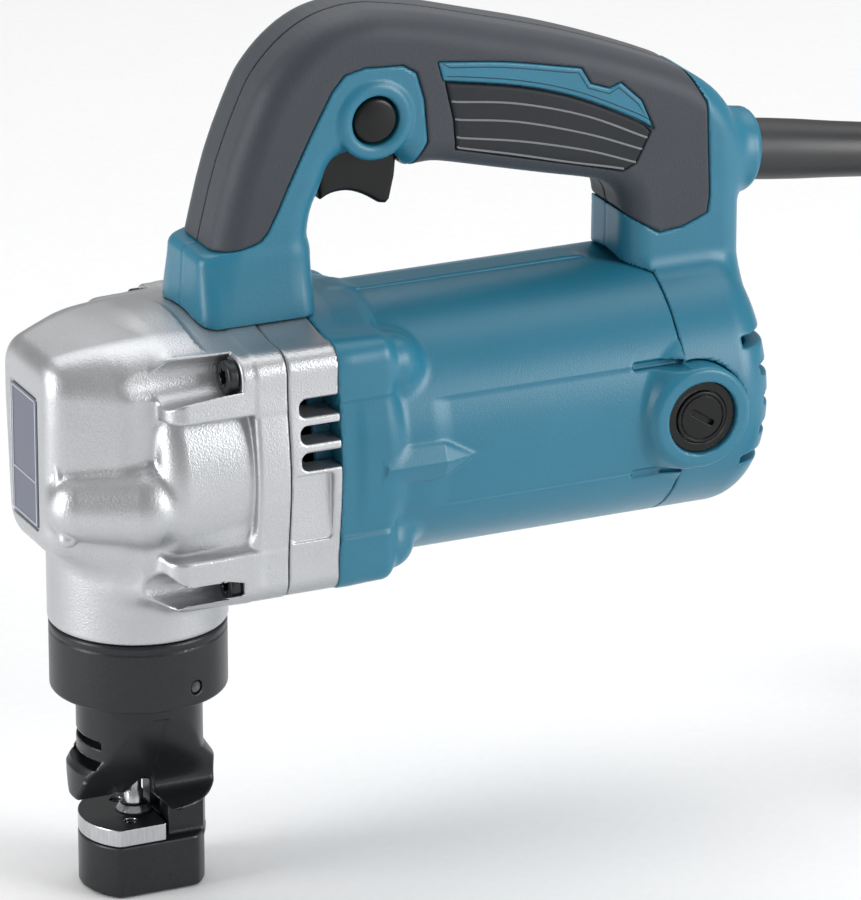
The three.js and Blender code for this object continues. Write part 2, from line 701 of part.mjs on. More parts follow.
function dieHolder() {
  const upper = turned('z', [
    [0, 26.2], [HOLDER_R, 26.2], [COLLAR_R, 28.6], [COLLAR_R, 38], [HOLDER_R, 42.2], [HOLDER_R, 65],
    [21.6, 65], [21.6, 68.1], [15.1, 68.1], [15.1, 80], [0, 80],
  ], [0, 0, 0], 32);
  const column = prismZ([[4.4, -10], [16, -10], [18.2, 0], [16, 10], [4.4, 10]], DIE_SEAT_Z - 1, 27);
  const slope = 0.57;
  const peak = 56;
  const lowest = 3;
  const slant = (z) => -(lowest + slope * (z - THROAT_TOP_Z));
  const scoops = [LEFT, RIGHT].flatMap((side) => {
    const flip = (points) => points.map(([y, z]) => [-side * y, z]);
    const front = [[slant(20), 20], [slant(peak), peak], [-30, peak], [-30, 20]];
    const rear = [[slant(35), 35], [slant(peak), peak], [-30, peak], [-30, 30.4], [-13, 30.4], [-9, 32]];
    return [prismX(flip(front), -30, 0.6), prismX(flip(rear), 0.5, 30)];
  });
  const throat = block(-30, 4.5, -30, 30, DIE_SEAT_Z + 6, THROAT_TOP_Z);
  const gauges = [39.6, 45.8].map((low) => block(-30, -14.4, -9.4, 9.4, low, low + 2.4));
  return cut(
    join(prismZ(footSection(), 0, DIE_SEAT_Z), column, upper),
    throat,
    ...scoops,
    ...gauges,
    drum('z', 6, 20, 61, [0, 0, 0], 24),
    drum('z', 10, 60, 81, [0, 0, 0], 24),
    drum('z', 4.2, 6, 30, [PUNCH_X, 0, 0], 20),
    block(PUNCH_X, 30, -3.4, 3.4, 6, 12.5),
    ...dieScrewPlaces().map(([x, y]) => drum('z', 1.9, 8, 20, [x, y, 0], 12)),
  );
}

function dieScrewPlaces() {
  return [[-6.4, -7.8], [-4.4, 8.6]];
}

function die() {
  const backEdge = [[1.9, -20], [4.1, 20], [-30, 20], [-30, -20]];
  const plate = prismZ(footSection(), DIE_SEAT_Z + GAP, DIE_TOP_Z).intersect(prismZ(backEdge, 10, 30));
  const profile = [[0, 20], [6.8, 20], [6.8, DIE_TOP_Z], [4.2, DIE_CROWN_Z], [0, DIE_CROWN_Z]];
  const crown = turned('z', profile, [PUNCH_X, 0, 0], 24);
  return cut(
    join(plate, crown.intersect(prismZ(backEdge, 10, 30))),
    drum('z', PUNCH_FOOT_R + RUN, 10, 30, [PUNCH_X, 0, 0], 20),
    ...dieScrewPlaces().map(([x, y]) => drum('z', 1.9, 10, 30, [x, y, 0], 12)),
  );
}

function dieScrew([x, y]) {
  return cut(drum('z', 1.75, 8.4, 20.6, [x, y, 0], 12), drum('z', 0.9, 19.2, 22, [x, y, 0], 6));
}

function lockNut() {
  const profile = [
    [19, NUT_LOW_Z], [NUT_R - 0.8, NUT_LOW_Z], [NUT_R, NUT_LOW_Z + 0.8], [NUT_R, NUT_HIGH_Z - 1.6],
    [NUT_R - 1, NUT_HIGH_Z], [22, NUT_HIGH_Z], [22, 64.7], [19, 64.7], [19, NUT_LOW_Z],
  ];
  return cut(turned('z', profile, [0, 0, 0], 36), nutPin(2.1, 20, 30));
}

// A radial pin through the side of the lock nut.
function nutPin(radius, from, to) {
  const shape = new THREE.CylinderGeometry(radius, radius, to - from, 12).translate(0, -(from + to) / 2, 0);
  return solid(shape.rotateZ(THREE.MathUtils.degToRad(18)).translate(0, 0, 67.2));
}

// ---------------------------------------------------------------- cord
function cordGuard() {
  const taper = [[9.1, -4], [9.1, 12], [8.4, 30], [8, 47], [5.6, GUARD_LENGTH]];
  return alongGuard([[0, -4], ...taper, [0, GUARD_LENGTH]], 20);
}

function cordRoute() {
  const along = new THREE.Vector3(Math.cos(GUARD_DROOP), 0, -Math.sin(GUARD_DROOP));
  const start = along.clone().multiplyScalar(GUARD_LENGTH + GAP).add(GUARD_START);
  const straight = along.clone().multiplyScalar(8).add(start);
  const fall = [
    [273, 0, 185.2], [283, 0, 178.6], [290, 0, 168], [294, 0, 152], [295.6, 0, 130],
    [296, 0, 105], [296, 0, 80], [296.2, -0.2, 62], [298.2, -0.6, 49], [304, -1.2, 38.6],
    [313, -1.9, 31], [324.2, -2.7, 27.2], [337, -3.25, 26.6],
  ];
  const points = [start, straight, ...fall.map((point) => new THREE.Vector3(...point))];
  return new THREE.CatmullRomCurve3(points, false, 'centripetal');
}

// From the lowest, outermost turn of the coil to the plug.
function cordTail() {
  const back = new THREE.Vector3(-TAIL_HEADING.x, -TAIL_HEADING.y, 0);
  const spot = (distance, z) => back.clone().multiplyScalar(distance).add(PLUG_START).setZ(z);
  const low = CORD_D / 2 + 0.05;
  const level = PLUG_START.z;
  const rise = [spot(24, low), spot(18, low + 0.7), spot(11, level - 0.8)];
  const points = [...rise, spot(5, level), spot(2 * GAP, level)];
  const bar = tube(new THREE.CatmullRomCurve3(points, false, 'centripetal'), CORD_D / 2, 10, 10);
  return cut(bar, drum('z', COIL_R + COIL_BAND / 2 + GAP, -10, 40, [COIL_CENTRE.x, COIL_CENTRE.y, 0], 96));
}

function tube(curve, radius, steps, sides) {
  const section = flatShape(circle(radius, sides));
  return solid(new THREE.ExtrudeGeometry(section, { steps, extrudePath: curve, bevelEnabled: false }));
}

function cord() {
  return tube(cordRoute(), CORD_D / 2, 16, 10);
}

function cordCoil() {
  const outer = COIL_R + COIL_BAND / 2;
  const inner = COIL_R - COIL_BAND / 2;
  return turned('z', [
    [inner, 3], [inner + 3, 0], [outer - 3, 0], [outer, 3], [outer, COIL_BAND - 3],
    [outer - 3, COIL_BAND], [inner + 3, COIL_BAND], [inner, COIL_BAND - 3], [inner, 3],
  ], COIL_CENTRE.toArray(), 32);
}

function coilTie() {
  const reach = COIL_BAND / 2 + 0.8;
  const outline = (margin) => roundedBox(reach + margin, -margin - GAP, COIL_BAND + GAP + margin, 3.4, 16);
  const raise = (points) => points.map(([x, z]) => [x + COIL_CENTRE.x + COIL_R, Math.max(z, 0.02)]);
  const outer = prismY(raise(outline(1.4)), COIL_CENTRE.y - 4, COIL_CENTRE.y + 4);
  const inner = prismY(raise(outline(0)), COIL_CENTRE.y - 5, COIL_CENTRE.y + 5);
  return cut(outer, inner);
}

function plug() {
  const slice = (x, half, tall, radius) => {
    return roundedBox(half, -tall, tall, radius, 16).map(([y, z]) => [x, y, z]);
  };
  const front = [...slice(10, 8, 6, 5), ...slice(16, 11, 7.6, 6)];
  const body = hull([...front, ...slice(38, 15, 9.5, 7), ...slice(40, 14, 8.6, 6)]);
  const neck = drum('x', 5.4, 0, 12, [0, 0, 0], 16);
  const pins = [-9.5, 9.5].map((y) => drum('x', 2.4, 38, 57, [0, y, 0], 12));
  const turn = THREE.MathUtils.radToDeg(Math.atan2(TAIL_HEADING.y, TAIL_HEADING.x));
  return join(body, neck, ...pins).rotate([0, 0, turn]).translate(PLUG_START.toArray());
}

// ---------------------------------------------------------------- assembly
const tool = new THREE.Group();

function place(name, body, finish) {
  const mesh = body.getMesh();
  const geometry = new THREE.BufferGeometry();
  geometry.setAttribute('position', new THREE.BufferAttribute(new Float32Array(mesh.vertProperties), 3));
  geometry.setIndex(new THREE.BufferAttribute(new Uint32Array(mesh.triVerts), 1));
  geometry.computeVertexNormals();
  const part = new THREE.Mesh(geometry, new THREE.MeshStandardMaterial(finishes[finish]));
  part.name = name;
  tool.add(part);
}

place('crank_housing', crankHousing(), 'casting');
place('head_plate', headPlate(), 'plate');
place('bearing_box', bearingBox(), 'casting');
place('motor_housing', motorHousing(), 'teal');
cornerPlaces().forEach((spot, i) => place(`case_screw_${i + 1}`, caseScrew(spot), 'blackened'));

for (const [side, word] of [[LEFT, 'left'], [RIGHT, 'right']]) {
  place(`handle_${word}`, handleShell(side), 'teal');
  place(`grip_${word}`, gripSkin(side), 'grip');
  place(`grip_accent_${word}`, sideInlay([...ACCENT_TOP, ...ACCENT_BOTTOM], side, 0.3), 'teal');
  place(`grip_pad_${word}`, sideInlay([...PAD_TOP, ...PAD_BOTTOM], side, 0.6), 'pad');
  place(`brush_holder_${word}`, brushHolder(side), 'plastic');
  place(`carbon_brush_${word}`, carbonBrush(side), 'carbon');
  place(`brush_cap_${word}`, brushCap(side), 'plastic');
}

place('trigger', trigger(), 'plastic');
place('lock_button', lockButton(), 'plastic');
place('switch_body', block(80, 112, -9, 9, 228, 244), 'plastic');

place('stator', stator(), 'laminate');
place('armature_shaft', armatureShaft(), 'gear');
place('armature_core', armatureCore(), 'laminate');
place('commutator', ring('x', 13, 5.2, 151, 171, motorLine(), 24), 'copper');
place('fan', fan(), 'plastic');
place('motor_bearing_front', bearing(31, 37.6, 11, 5 + BEARING_FIT, MOTOR_AT), 'bright');
place('motor_bearing_rear', bearing(174.4, 180.4, 10, 5 + BEARING_FIT, MOTOR_AT), 'bright');

place('countershaft', countershaft(), 'gear');
place('reduction_gear', reductionGear(), 'gear');
place('counter_bearing_front', bearing(9.3, 13, 8, 4 + BEARING_FIT, COUNTER_AT), 'bright');
place('counter_bearing_rear', bearing(31, 36.2, 8, 4 + BEARING_FIT, COUNTER_AT), 'bright');

place('crank_shaft', crankShaft(), 'gear');
place('crank_gear', crankGear(), 'gear');
place('crank_bearing_front', bearing(-17.6, -8.4, 12, 6 + BEARING_FIT, CRANK_AT), 'bright');
place('crank_bearing_rear', bearing(7.2, 13, 12, 6 + BEARING_FIT, CRANK_AT), 'bright');
place('con_rod', conRod(), 'gear');
place('wrist_pin', wristPin(), 'bright');

place('ram', ram(), 'bright');
place('guide_sleeve', guideSleeve(), 'bronze');
place('punch', punch(), 'bright');
place('die_holder', dieHolder(), 'blackened');
place('die', die(), 'bright');
dieScrewPlaces().forEach((spot, i) => place(`die_screw_${i + 1}`, dieScrew(spot), 'blackened'));
place('lock_nut', lockNut(), 'blackened');
place('nut_pin', nutPin(1.9, 22.4, 25.6), 'blackened');

place('cord_guard', cordGuard(), 'rubber');
place('cord', cord(), 'rubber');
place('cord_coil', cordCoil(), 'rubber');
place('cord_tail', cordTail(), 'rubber');
place('coil_tie', coilTie(), 'plastic');
place('plug', plug(), 'rubber');

export default tool;
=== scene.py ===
"""The looks of the nibbler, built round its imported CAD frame.

Smooth castings and mouldings are modelled as distance fields, in millimetres and in the CAD frame:
a field gives each point its distance from the surface, negative inside. Fields are joined and cut
with soft corners, and each is then turned into a mesh.
"""

import json
import math

import bpy
import numpy as np
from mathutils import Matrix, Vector


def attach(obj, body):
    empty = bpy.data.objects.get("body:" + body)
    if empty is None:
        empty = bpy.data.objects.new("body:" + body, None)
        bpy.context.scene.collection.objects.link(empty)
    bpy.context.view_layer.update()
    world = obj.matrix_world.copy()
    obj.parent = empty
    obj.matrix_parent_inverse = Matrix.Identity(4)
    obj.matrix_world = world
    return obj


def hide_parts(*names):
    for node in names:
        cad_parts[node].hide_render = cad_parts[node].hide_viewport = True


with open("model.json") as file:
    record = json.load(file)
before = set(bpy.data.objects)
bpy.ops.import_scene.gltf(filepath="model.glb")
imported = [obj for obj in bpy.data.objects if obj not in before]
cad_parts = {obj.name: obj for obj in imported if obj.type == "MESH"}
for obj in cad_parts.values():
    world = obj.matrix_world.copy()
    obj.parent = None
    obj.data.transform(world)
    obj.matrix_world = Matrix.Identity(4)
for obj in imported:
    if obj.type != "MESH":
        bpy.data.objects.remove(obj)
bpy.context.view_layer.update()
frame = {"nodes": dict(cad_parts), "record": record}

MM = 0.001
DETAIL = 1.0

# ---------------------------------------------------------------- driving dimensions, in millimetres
MOTOR_Z = 132.8
BARREL_R = 40.4
CASE_R = 41.0
CASE_FRONT_X = -6.0
FLANGE_X = 20.5
POCKET_X = 16.8
CASE_REAR_X = 30.5
BOX_REAR_X = 46.5
BARREL_REAR_X = 157.0
REAR_X = 188.0
SCREW_Y = 34.0
SCREW_Z = 31.4
BAND_HALF = 20.7
BRUSH_X = 160.5
BRUSH_BOSS_R = 15.4
REAR_ROOM_R = 36.7
REAR_ROOM_X = 181.5
HEAD_FRONT_X = -33.6
CREASE_X = -14.7
PLATE_Y = 1.3
PLATE_Z = 136.4
BORE_R = 12.8
NECK_R = 26.3
NUT_LOW_Z = 61.4
NUT_HIGH_Z = 82.4
NUT_R = 26.0
NUT_PIN_Z = 67.2
NUT_PIN_TURN = math.radians(18)
HOLDER_R = 18.5
HOLDER_FLAT_Y = 14.0
COLLAR_R = 21.6
DIE_SEAT_Z = 15.8
DIE_TOP_Z = 21.5
DIE_CROWN_Z = 24.2
THROAT_TOP_Z = 28.0
PUNCH_X = -2.2
PUNCH_FOOT_R = 2.8
HANDLE_HALF = 15.5
HANDLE_EDGE = 8.0
HANDLE_WALL = 4.4
SKIN = 1.6
LOCK_X = 69.0
LOCK_Z = 227.4
CAP_SLOT_TURN = math.radians(-34)
CORD_D = 7.5
GUARD_START = np.array([192.0, 0.0, 198.1])
GUARD_DROOP = math.radians(8)
GUARD_LENGTH = 62.0
COIL_CENTRE = np.array([337.0, -37.0])
COIL_R = 41.25
COIL_PITCH = 7.6
COIL_STEP_AT = 30
COIL_STEP_EVERY = 346
COIL_STEP_HALF = 24
COIL_TRAVEL = 3080
COIL_POINTS = 207
TAIL_HEADING = np.array([-0.9397, 0.342, 0.0])
PLUG_START = np.array([292.14, -72.55, 9.8])
PIN_SPACING = 19.0


# ---------------------------------------------------------------- camera
def make_camera():
    data = bpy.data.cameras.new("camera")
    data.lens = 280
    data.sensor_width = 36
    camera = bpy.data.objects.new("camera", data)
    camera.location = (-0.70712, -1.74818, 0.83359)
    camera.rotation_euler = (math.radians(90 - 20.4), 0, math.radians(-24.6))
    bpy.context.scene.collection.objects.link(camera)
    bpy.context.scene.camera = camera


# ---------------------------------------------------------------- fields
def length(*parts):
    return np.sqrt(sum(part * part for part in parts))


def join(a, b, soft=0.0):
    if not soft:
        return np.minimum(a, b)
    near = np.maximum(soft - np.abs(a - b), 0) / soft
    return np.minimum(a, b) - near * near * soft / 4


def meet(a, b, soft=0.0):
    return -join(-a, -b, soft)


def cut(a, b, soft=0.0):
    return meet(a, -b, soft)


def soft_step(value, low, high):
    t = np.clip((value - low) / (high - low), 0, 1)
    return t * t * (3 - 2 * t)


def oblong(u, v, half_u, half_v, radius):
    """A rectangle with round corners."""
    a = np.abs(u) - half_u + radius
    b = np.abs(v) - half_v + radius
    return np.minimum(np.maximum(a, b), 0) + length(np.maximum(a, 0), np.maximum(b, 0)) - radius


def slab(outline, along, low, high, edge=0.0):
    """A flat outline pushed from low to high, with round edges."""
    a = outline + edge
    b = np.abs(along - (low + high) / 2) - (high - low) / 2 + edge
    return np.minimum(np.maximum(a, b), 0) + length(np.maximum(a, 0), np.maximum(b, 0)) - edge


def capsule(x, y, z, start, end, r0, r1):
    """A round-ended bar from start to end, of radius r0 at its start and r1 at its end."""
    ex, ey, ez = (b - a for a, b in zip(start, end))
    wx, wy, wz = x - start[0], y - start[1], z - start[2]
    t = np.clip((wx * ex + wy * ey + wz * ez) / (ex * ex + ey * ey + ez * ez), 0, 1)
    return length(wx - ex * t, wy - ey * t, wz - ez * t) - (r0 + (r1 - r0) * t)


class Outline:
    """Distance to a closed outline, looked up in a table of its own."""

    def __init__(self, points, step=0.4, margin=14.0):
        self.points = [tuple(map(float, point)) for point in points]
        self.step = step
        corner = np.array(self.points)
        self.low = corner.min(0) - margin
        count = np.ceil((corner.max(0) + margin - self.low) / step).astype(int) + 1
        u = self.low[0] + step * np.arange(count[0])[:, None]
        v = self.low[1] + step * np.arange(count[1])[None, :]
        self.count = count
        self.table = self.measure(u, v)

    def measure(self, u, v):
        nearest = np.full(np.broadcast(u, v).shape, np.inf)
        inside = np.zeros(nearest.shape, bool)
        for (a, b), (c, d) in zip(self.points, self.points[1:] + self.points[:1]):
            if (a, b) == (c, d):
                continue
            eu, ev, wu, wv = c - a, d - b, u - a, v - b
            t = np.clip((wu * eu + wv * ev) / (eu * eu + ev * ev), 0, 1)
            nearest = np.minimum(nearest, (wu - eu * t) ** 2 + (wv - ev * t) ** 2)
            if b != d:
                inside ^= ((b > v) != (d > v)) & (u < (c - a) * (v - b) / (d - b) + a)
        return np.where(inside, -1, 1) * np.sqrt(nearest)

    def __call__(self, u, v):
        a = np.clip((u - self.low[0]) / self.step, 0, self.count[0] - 1.001)
        b = np.clip((v - self.low[1]) / self.step, 0, self.count[1] - 1.001)
        i, j = a.astype(int), b.astype(int)
        s, t = a - i, b - j
        table = self.table
        low = table[i, j] * (1 - s) + table[i + 1, j] * s
        high = table[i, j + 1] * (1 - s) + table[i + 1, j + 1] * s
        past = length(u - self.low[0] - a * self.step, v - self.low[1] - b * self.step)
        return low * (1 - t) + high * t + past


def through(points, steps=4):
    """A smooth line through the given points."""
    p = [np.array(point, float) for point in points]
    p = [2 * p[0] - p[1], *p, 2 * p[-1] - p[-2]]
    line = []
    for a, b, c, d in zip(p, p[1:], p[2:], p[3:]):
        for t in np.arange(steps) / steps:
            bend = (2 * a - 5 * b + 4 * c - d) * t**2 + (3 * b - a - 3 * c + d) * t**3
            line.append((2 * b + (c - a) * t + bend) / 2)
    return [*line, p[-2]]


# ---------------------------------------------------------------- meshes
EDGES = [
    (corner, axis)
    for axis in range(3)
    for corner in np.ndindex(2, 2, 2)
    if corner[axis] == 0
]


def corner_values(values, cells, offset):
    return values[cells[:, 0] + offset[0], cells[:, 1] + offset[1], cells[:, 2] + offset[2]]


def slopes(field, points, reach):
    """The field and its slope at each point."""
    x, y, z = points.T
    slope = np.empty_like(points)
    for axis in range(3):
        ahead, behind = [x, y, z], [x, y, z]
        ahead[axis] = ahead[axis] + reach
        behind[axis] = behind[axis] - reach
        slope[:, axis] = (field(*ahead) - field(*behind)) / (2 * reach)
    return field(x, y, z), slope


def onto(field, points, rounds=3, reach=0.05, most=1.0):
    """Moves points onto the surface of a field."""
    for _ in range(rounds):
        value, slope = slopes(field, points, reach)
        square = np.maximum((slope * slope).sum(1), 0.05)
        move = slope * (value / square)[:, None]
        size = np.maximum(np.linalg.norm(move, axis=1), 1e-9)
        points = points - move * np.minimum(1, most / size)[:, None]
    return points


def surface(field, low, high, step):
    """Vertices, faces and normals of a field's surface inside a box."""
    step = step * DETAIL
    axes = [np.arange(a, b + step, step) for a, b in zip(low, high)]
    x, y, z = np.ix_(*axes)
    values = np.broadcast_to(field(x, y, z), [len(axis) for axis in axes])
    inside = values < 0
    size = [n - 1 for n in inside.shape]
    full = np.zeros(size, np.uint8)
    for i, j, k in np.ndindex(2, 2, 2):
        full += inside[i : i + size[0], j : j + size[1], k : k + size[2]]
    active = (full > 0) & (full < 8)
    cells = np.argwhere(active)
    number = np.full(size, -1, np.int64)
    number[active] = np.arange(len(cells))
    total = np.zeros((len(cells), 3))
    hits = np.zeros(len(cells))
    for corner, axis in EDGES:
        ahead = list(corner)
        ahead[axis] = 1
        a = corner_values(values, cells, corner)
        b = corner_values(values, cells, ahead)
        crosses = (a < 0) != (b < 0)
        spot = np.repeat(np.array([corner], float), len(cells), 0)
        spot[:, axis] += np.where(crosses, a / np.where(crosses, a - b, 1), 0)
        total += spot * crosses[:, None]
        hits += crosses
    points = np.array([axis[0] for axis in axes]) + step * (cells + total / hits[:, None])
    faces = []
    for axis in range(3):
        p, q = [other for other in range(3) if other != axis]
        ahead = np.roll(inside, -1, axis)
        crosses = inside != ahead
        keep = [slice(1, n - 1) for n in inside.shape]
        keep[axis] = slice(0, inside.shape[axis] - 1)
        start = np.array([s.start for s in keep])
        spots = np.argwhere(crosses[tuple(keep)]) + start
        ring = []
        for back_p, back_q in ((1, 1), (0, 1), (0, 0), (1, 0)):
            cell = spots.copy()
            cell[:, p] -= back_p
            cell[:, q] -= back_q
            ring.append(number[cell[:, 0], cell[:, 1], cell[:, 2]])
        quads = np.stack(ring, 1)
        flip = inside[spots[:, 0], spots[:, 1], spots[:, 2]] == (axis == 1)
        quads[flip] = quads[flip][:, ::-1]
        faces.append(quads)
    points = onto(field, points, 2, 0.05, step * 0.6)
    normals = slopes(field, points, step * 0.4)[1]
    normals /= np.maximum(np.linalg.norm(normals, axis=1), 1e-9)[:, None]
    return points, np.concatenate(faces), normals


def mirrored(shape, side):
    """The shape itself on the right, at side 1, and its mirror image on the left, at side -1."""
    if side > 0:
        return shape
    points, faces, normals = shape
    flip = np.array([1, -1, 1])
    return points * flip, faces[:, ::-1], normals * flip


def bands(rings, sides):
    """The faces that join each ring of points to the next."""
    faces = []
    for row in range(rings - 1):
        a, b = row * sides, (row + 1) * sides
        for i in range(sides):
            j = (i + 1) % sides
            faces.append((a + i, a + j, b + j, b + i))
    return faces


def lathe(profile, sides=96):
    """A profile of (radius, height) from axis to axis, turned about Z."""
    turn = 2 * np.pi * np.arange(sides) / sides
    points = [
        (radius * math.cos(a), radius * math.sin(a), height)
        for radius, height in profile
        for a in turn
    ]
    return weld(np.array(points), bands(len(profile), sides))


def weld(points, faces):
    """Joins points that coincide and drops the faces that this closes up."""
    key, back = np.unique(np.round(points, 4), axis=0, return_inverse=True)
    back = back.reshape(-1)
    kept = []
    for face in faces:
        ring = []
        for i in (back[i] for i in face):
            if i not in ring:
                ring.append(int(i))
        if len(ring) > 2:
            kept.append(ring)
    return key, kept, None


def tube(points, radius, sides=10):
    """A round bar along a line of points, with flat ends."""
    line = np.array(points, float)
    ahead = np.gradient(line, axis=0)
    ahead /= np.linalg.norm(ahead, axis=1)[:, None]
    side = np.cross(ahead, [0.31, 0.17, 0.93])
    side /= np.linalg.norm(side, axis=1)[:, None]
    up = np.cross(ahead, side)
    turn = 2 * np.pi * np.arange(sides) / sides
    radii = np.broadcast_to(radius, len(line))
    rings = [
        at + r * (np.outer(np.cos(turn), s) + np.outer(np.sin(turn), u))
        for at, s, u, r in zip(line, side, up, radii)
    ]
    faces = bands(len(line), sides)
    faces.append(tuple(range(sides))[::-1])
    faces.append(tuple((len(line) - 1) * sides + i for i in range(sides)))
    return np.concatenate(rings), faces, None


def together(*shapes):
    points, faces, start = [], [], 0
    for shape_points, shape_faces, _ in shapes:
        points.append(shape_points)
        faces.extend([[int(i) + start for i in face] for face in shape_faces])
        start += len(shape_points)
    return np.concatenate(points), faces, None


def piece(name, shape, material, body="casing", replaces=()):
    """Makes the Blender object for a shape in millimetres, and hangs it on its CAD body."""
    points, faces, normals = shape
    mesh = bpy.data.meshes.new(name)
    mesh.from_pydata((points * MM).tolist(), [], [list(map(int, face)) for face in faces])
    mesh.validate()
    mesh.polygons.foreach_set("use_smooth", [True] * len(mesh.polygons))
    if normals is not None and len(mesh.vertices) == len(normals):
        mesh.normals_split_custom_set_from_vertices(normals.tolist())
    elif normals is None:
        mesh.set_sharp_from_angle(angle=math.radians(35))
    mesh.materials.append(materials[material])
    made = bpy.data.objects.new(name, mesh)
    bpy.context.scene.collection.objects.link(made)
    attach(made, body)
    if replaces:
        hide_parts(*([replaces] if isinstance(replaces, str) else replaces))
    return made


# ---------------------------------------------------------------- materials
def linear(red, green, blue):
    def one(value):
        value /= 255
        return value / 12.92 if value <= 0.04045 else ((value + 0.055) / 1.055) ** 2.4

    return (one(red), one(green), one(blue), 1)


def shade(colour, factor):
    return tuple(min(1, part * factor) for part in colour[:3]) + (1,)


def build_material(name, colour, metallic=0.0, rough=0.5, spread=0.08, grain=1600, bump=0.15,
                   mottle=0.12, wear=0.0, worn=None, gloss=0.5, sheen=0.0, streak=None):
    """A surface with fine grain, slow mottling, uneven gloss and edges that are worn lighter."""
    material = bpy.data.materials.new(name)
    material.use_nodes = True
    nodes, links = material.node_tree.nodes, material.node_tree.links
    shader = nodes["Principled BSDF"]
    shader.inputs["Metallic"].default_value = metallic
    shader.inputs["Specular IOR Level"].default_value = gloss
    shader.inputs["Sheen Weight"].default_value = sheen
    place = nodes.new("ShaderNodeTexCoord").outputs["Object"]

    def noise(scale, detail=3.0, stretch=None):
        texture = nodes.new("ShaderNodeTexNoise")
        texture.inputs["Scale"].default_value = scale
        texture.inputs["Detail"].default_value = detail
        source = place
        if stretch:
            mapping = nodes.new("ShaderNodeMapping")
            mapping.inputs["Scale"].default_value = stretch
            links.new(place, mapping.inputs["Vector"])
            source = mapping.outputs["Vector"]
        links.new(source, texture.inputs["Vector"])
        return texture.outputs["Fac"]

    def ramp(source, low, high, a, b):
        node = nodes.new("ShaderNodeMapRange")
        node.inputs["From Min"].default_value = low
        node.inputs["From Max"].default_value = high
        node.inputs["To Min"].default_value = a
        node.inputs["To Max"].default_value = b
        links.new(source, node.inputs["Value"])
        return node.outputs["Result"]

    def mix(factor, a, b):
        node = nodes.new("ShaderNodeMix")
        node.data_type = "RGBA"
        links.new(factor, node.inputs["Factor"])
        for socket, value in ((node.inputs["A"], a), (node.inputs["B"], b)):
            if isinstance(value, tuple):
                socket.default_value = value
            else:
                links.new(value, socket)
        return node.outputs["Result"]

    fine = noise(grain, 2.0, streak)
    slow = noise(28.0, 4.0)
    tone = mix(ramp(slow, 0.3, 0.7, 0, 1), shade(colour, 1 - mottle), shade(colour, 1 + mottle))
    tone = mix(ramp(fine, 0.35, 0.65, 0, 0.5), tone, shade(colour, 1 - 1.6 * spread))
    if wear:
        edge = nodes.new("ShaderNodeNewGeometry").outputs["Pointiness"]
        broken = noise(260.0, 4.0)
        strength = ramp(edge, 0.53, 0.6, 0, wear)
        product = nodes.new("ShaderNodeMath")
        product.operation = "MULTIPLY"
        links.new(strength, product.inputs[0])
        links.new(ramp(broken, 0.4, 0.6, 0.2, 1), product.inputs[1])
        tone = mix(product.outputs[0], tone, worn or shade(colour, 2.2))
    links.new(tone, shader.inputs["Base Color"])
    links.new(ramp(slow, 0.3, 0.7, rough * (1 - spread), rough * (1 + spread)), shader.inputs["Roughness"])
    relief = nodes.new("ShaderNodeBump")
    relief.inputs["Strength"].default_value = bump
    relief.inputs["Distance"].default_value = 0.0002
    links.new(fine, relief.inputs["Height"])
    links.new(relief.outputs["Normal"], shader.inputs["Normal"])
    return material


STEEL_WORN = (0.3, 0.3, 0.31, 1)
materials = {
    "casting": build_material("cast_metal", (0.53, 0.54, 0.555, 1), 0.9, 0.38, 0.1, 1900, 0.55, 0.06),
    "teal": build_material("teal_nylon", linear(36, 114, 140), 0, 0.33, 0.1, 2600, 0.3, 0.05, 0.25,
                           linear(110, 165, 188)),
    "grip": build_material("grip_rubber", linear(48, 54, 62), 0, 0.56, 0.12, 2300, 0.5, 0.06, sheen=0.15),
    "pad": build_material("pad_rubber", linear(30, 34, 39), 0, 0.6, 0.1, 2600, 0.3, 0.06, gloss=0.35),
    "blackened": build_material("black_oxide", (0.03, 0.032, 0.035, 1), 0.6, 0.34, 0.15, 1400, 0.25, 0.15,
                                0.7, STEEL_WORN),
    "bright": build_material("ground_steel", (0.58, 0.585, 0.6, 1), 1, 0.26, 0.2, 1500, 0.2, 0.08,
                             streak=(1, 1, 0.12)),
    "gear": build_material("hard_steel", (0.4, 0.4, 0.41, 1), 1, 0.33, 0.15, 1500, 0.2, 0.1, 0.5,
                           (0.7, 0.7, 0.7, 1)),
    "copper": build_material("copper", (0.72, 0.37, 0.2, 1), 1, 0.32, 0.2, 1200, 0.2, 0.15),
    "bronze": build_material("bronze", (0.55, 0.38, 0.18, 1), 1, 0.38, 0.2, 1500, 0.3, 0.12),
    "laminate": build_material("laminations", (0.2, 0.2, 0.22, 1), 0.8, 0.5, 0.15, 1500, 0.4, 0.1,
                               streak=(4, 0.05, 0.05)),
    "plastic": build_material("black_nylon", (0.004, 0.0045, 0.005, 1), 0, 0.28, 0.15, 2200, 0.12, 0.1, 0.3,
                              (0.1, 0.1, 0.105, 1), gloss=0.28),
    "carbon": build_material("carbon", (0.03, 0.03, 0.032, 1), 0.1, 0.6, 0.1, 1500, 0.3, 0.1),
    "plate": build_material("name_plate", linear(104, 108, 124), 0.5, 0.34, 0.1, 1500, 0.1, 0.06),
    "rubber": build_material("cord_rubber", (0.022, 0.023, 0.025, 1), 0, 0.42, 0.12, 1800, 0.15, 0.12),
    # painted shadow: the trim's teal as it looks in shade, for the thin line drawn on the grip accent where a
    # groove would be
    "painted_groove_shadow": build_material("seam_shadow", linear(24, 58, 72), 0, 0.7, 0.1, 1500, 0.1, 0.05),
    "rib": build_material("rib_rubber", linear(122, 124, 128), 0, 0.5, 0.1, 1500, 0.2, 0.1),
    "line": build_material("plate_line", linear(190, 193, 200), 0.2, 0.4, 0.1, 1500, 0.1, 0.05),
}


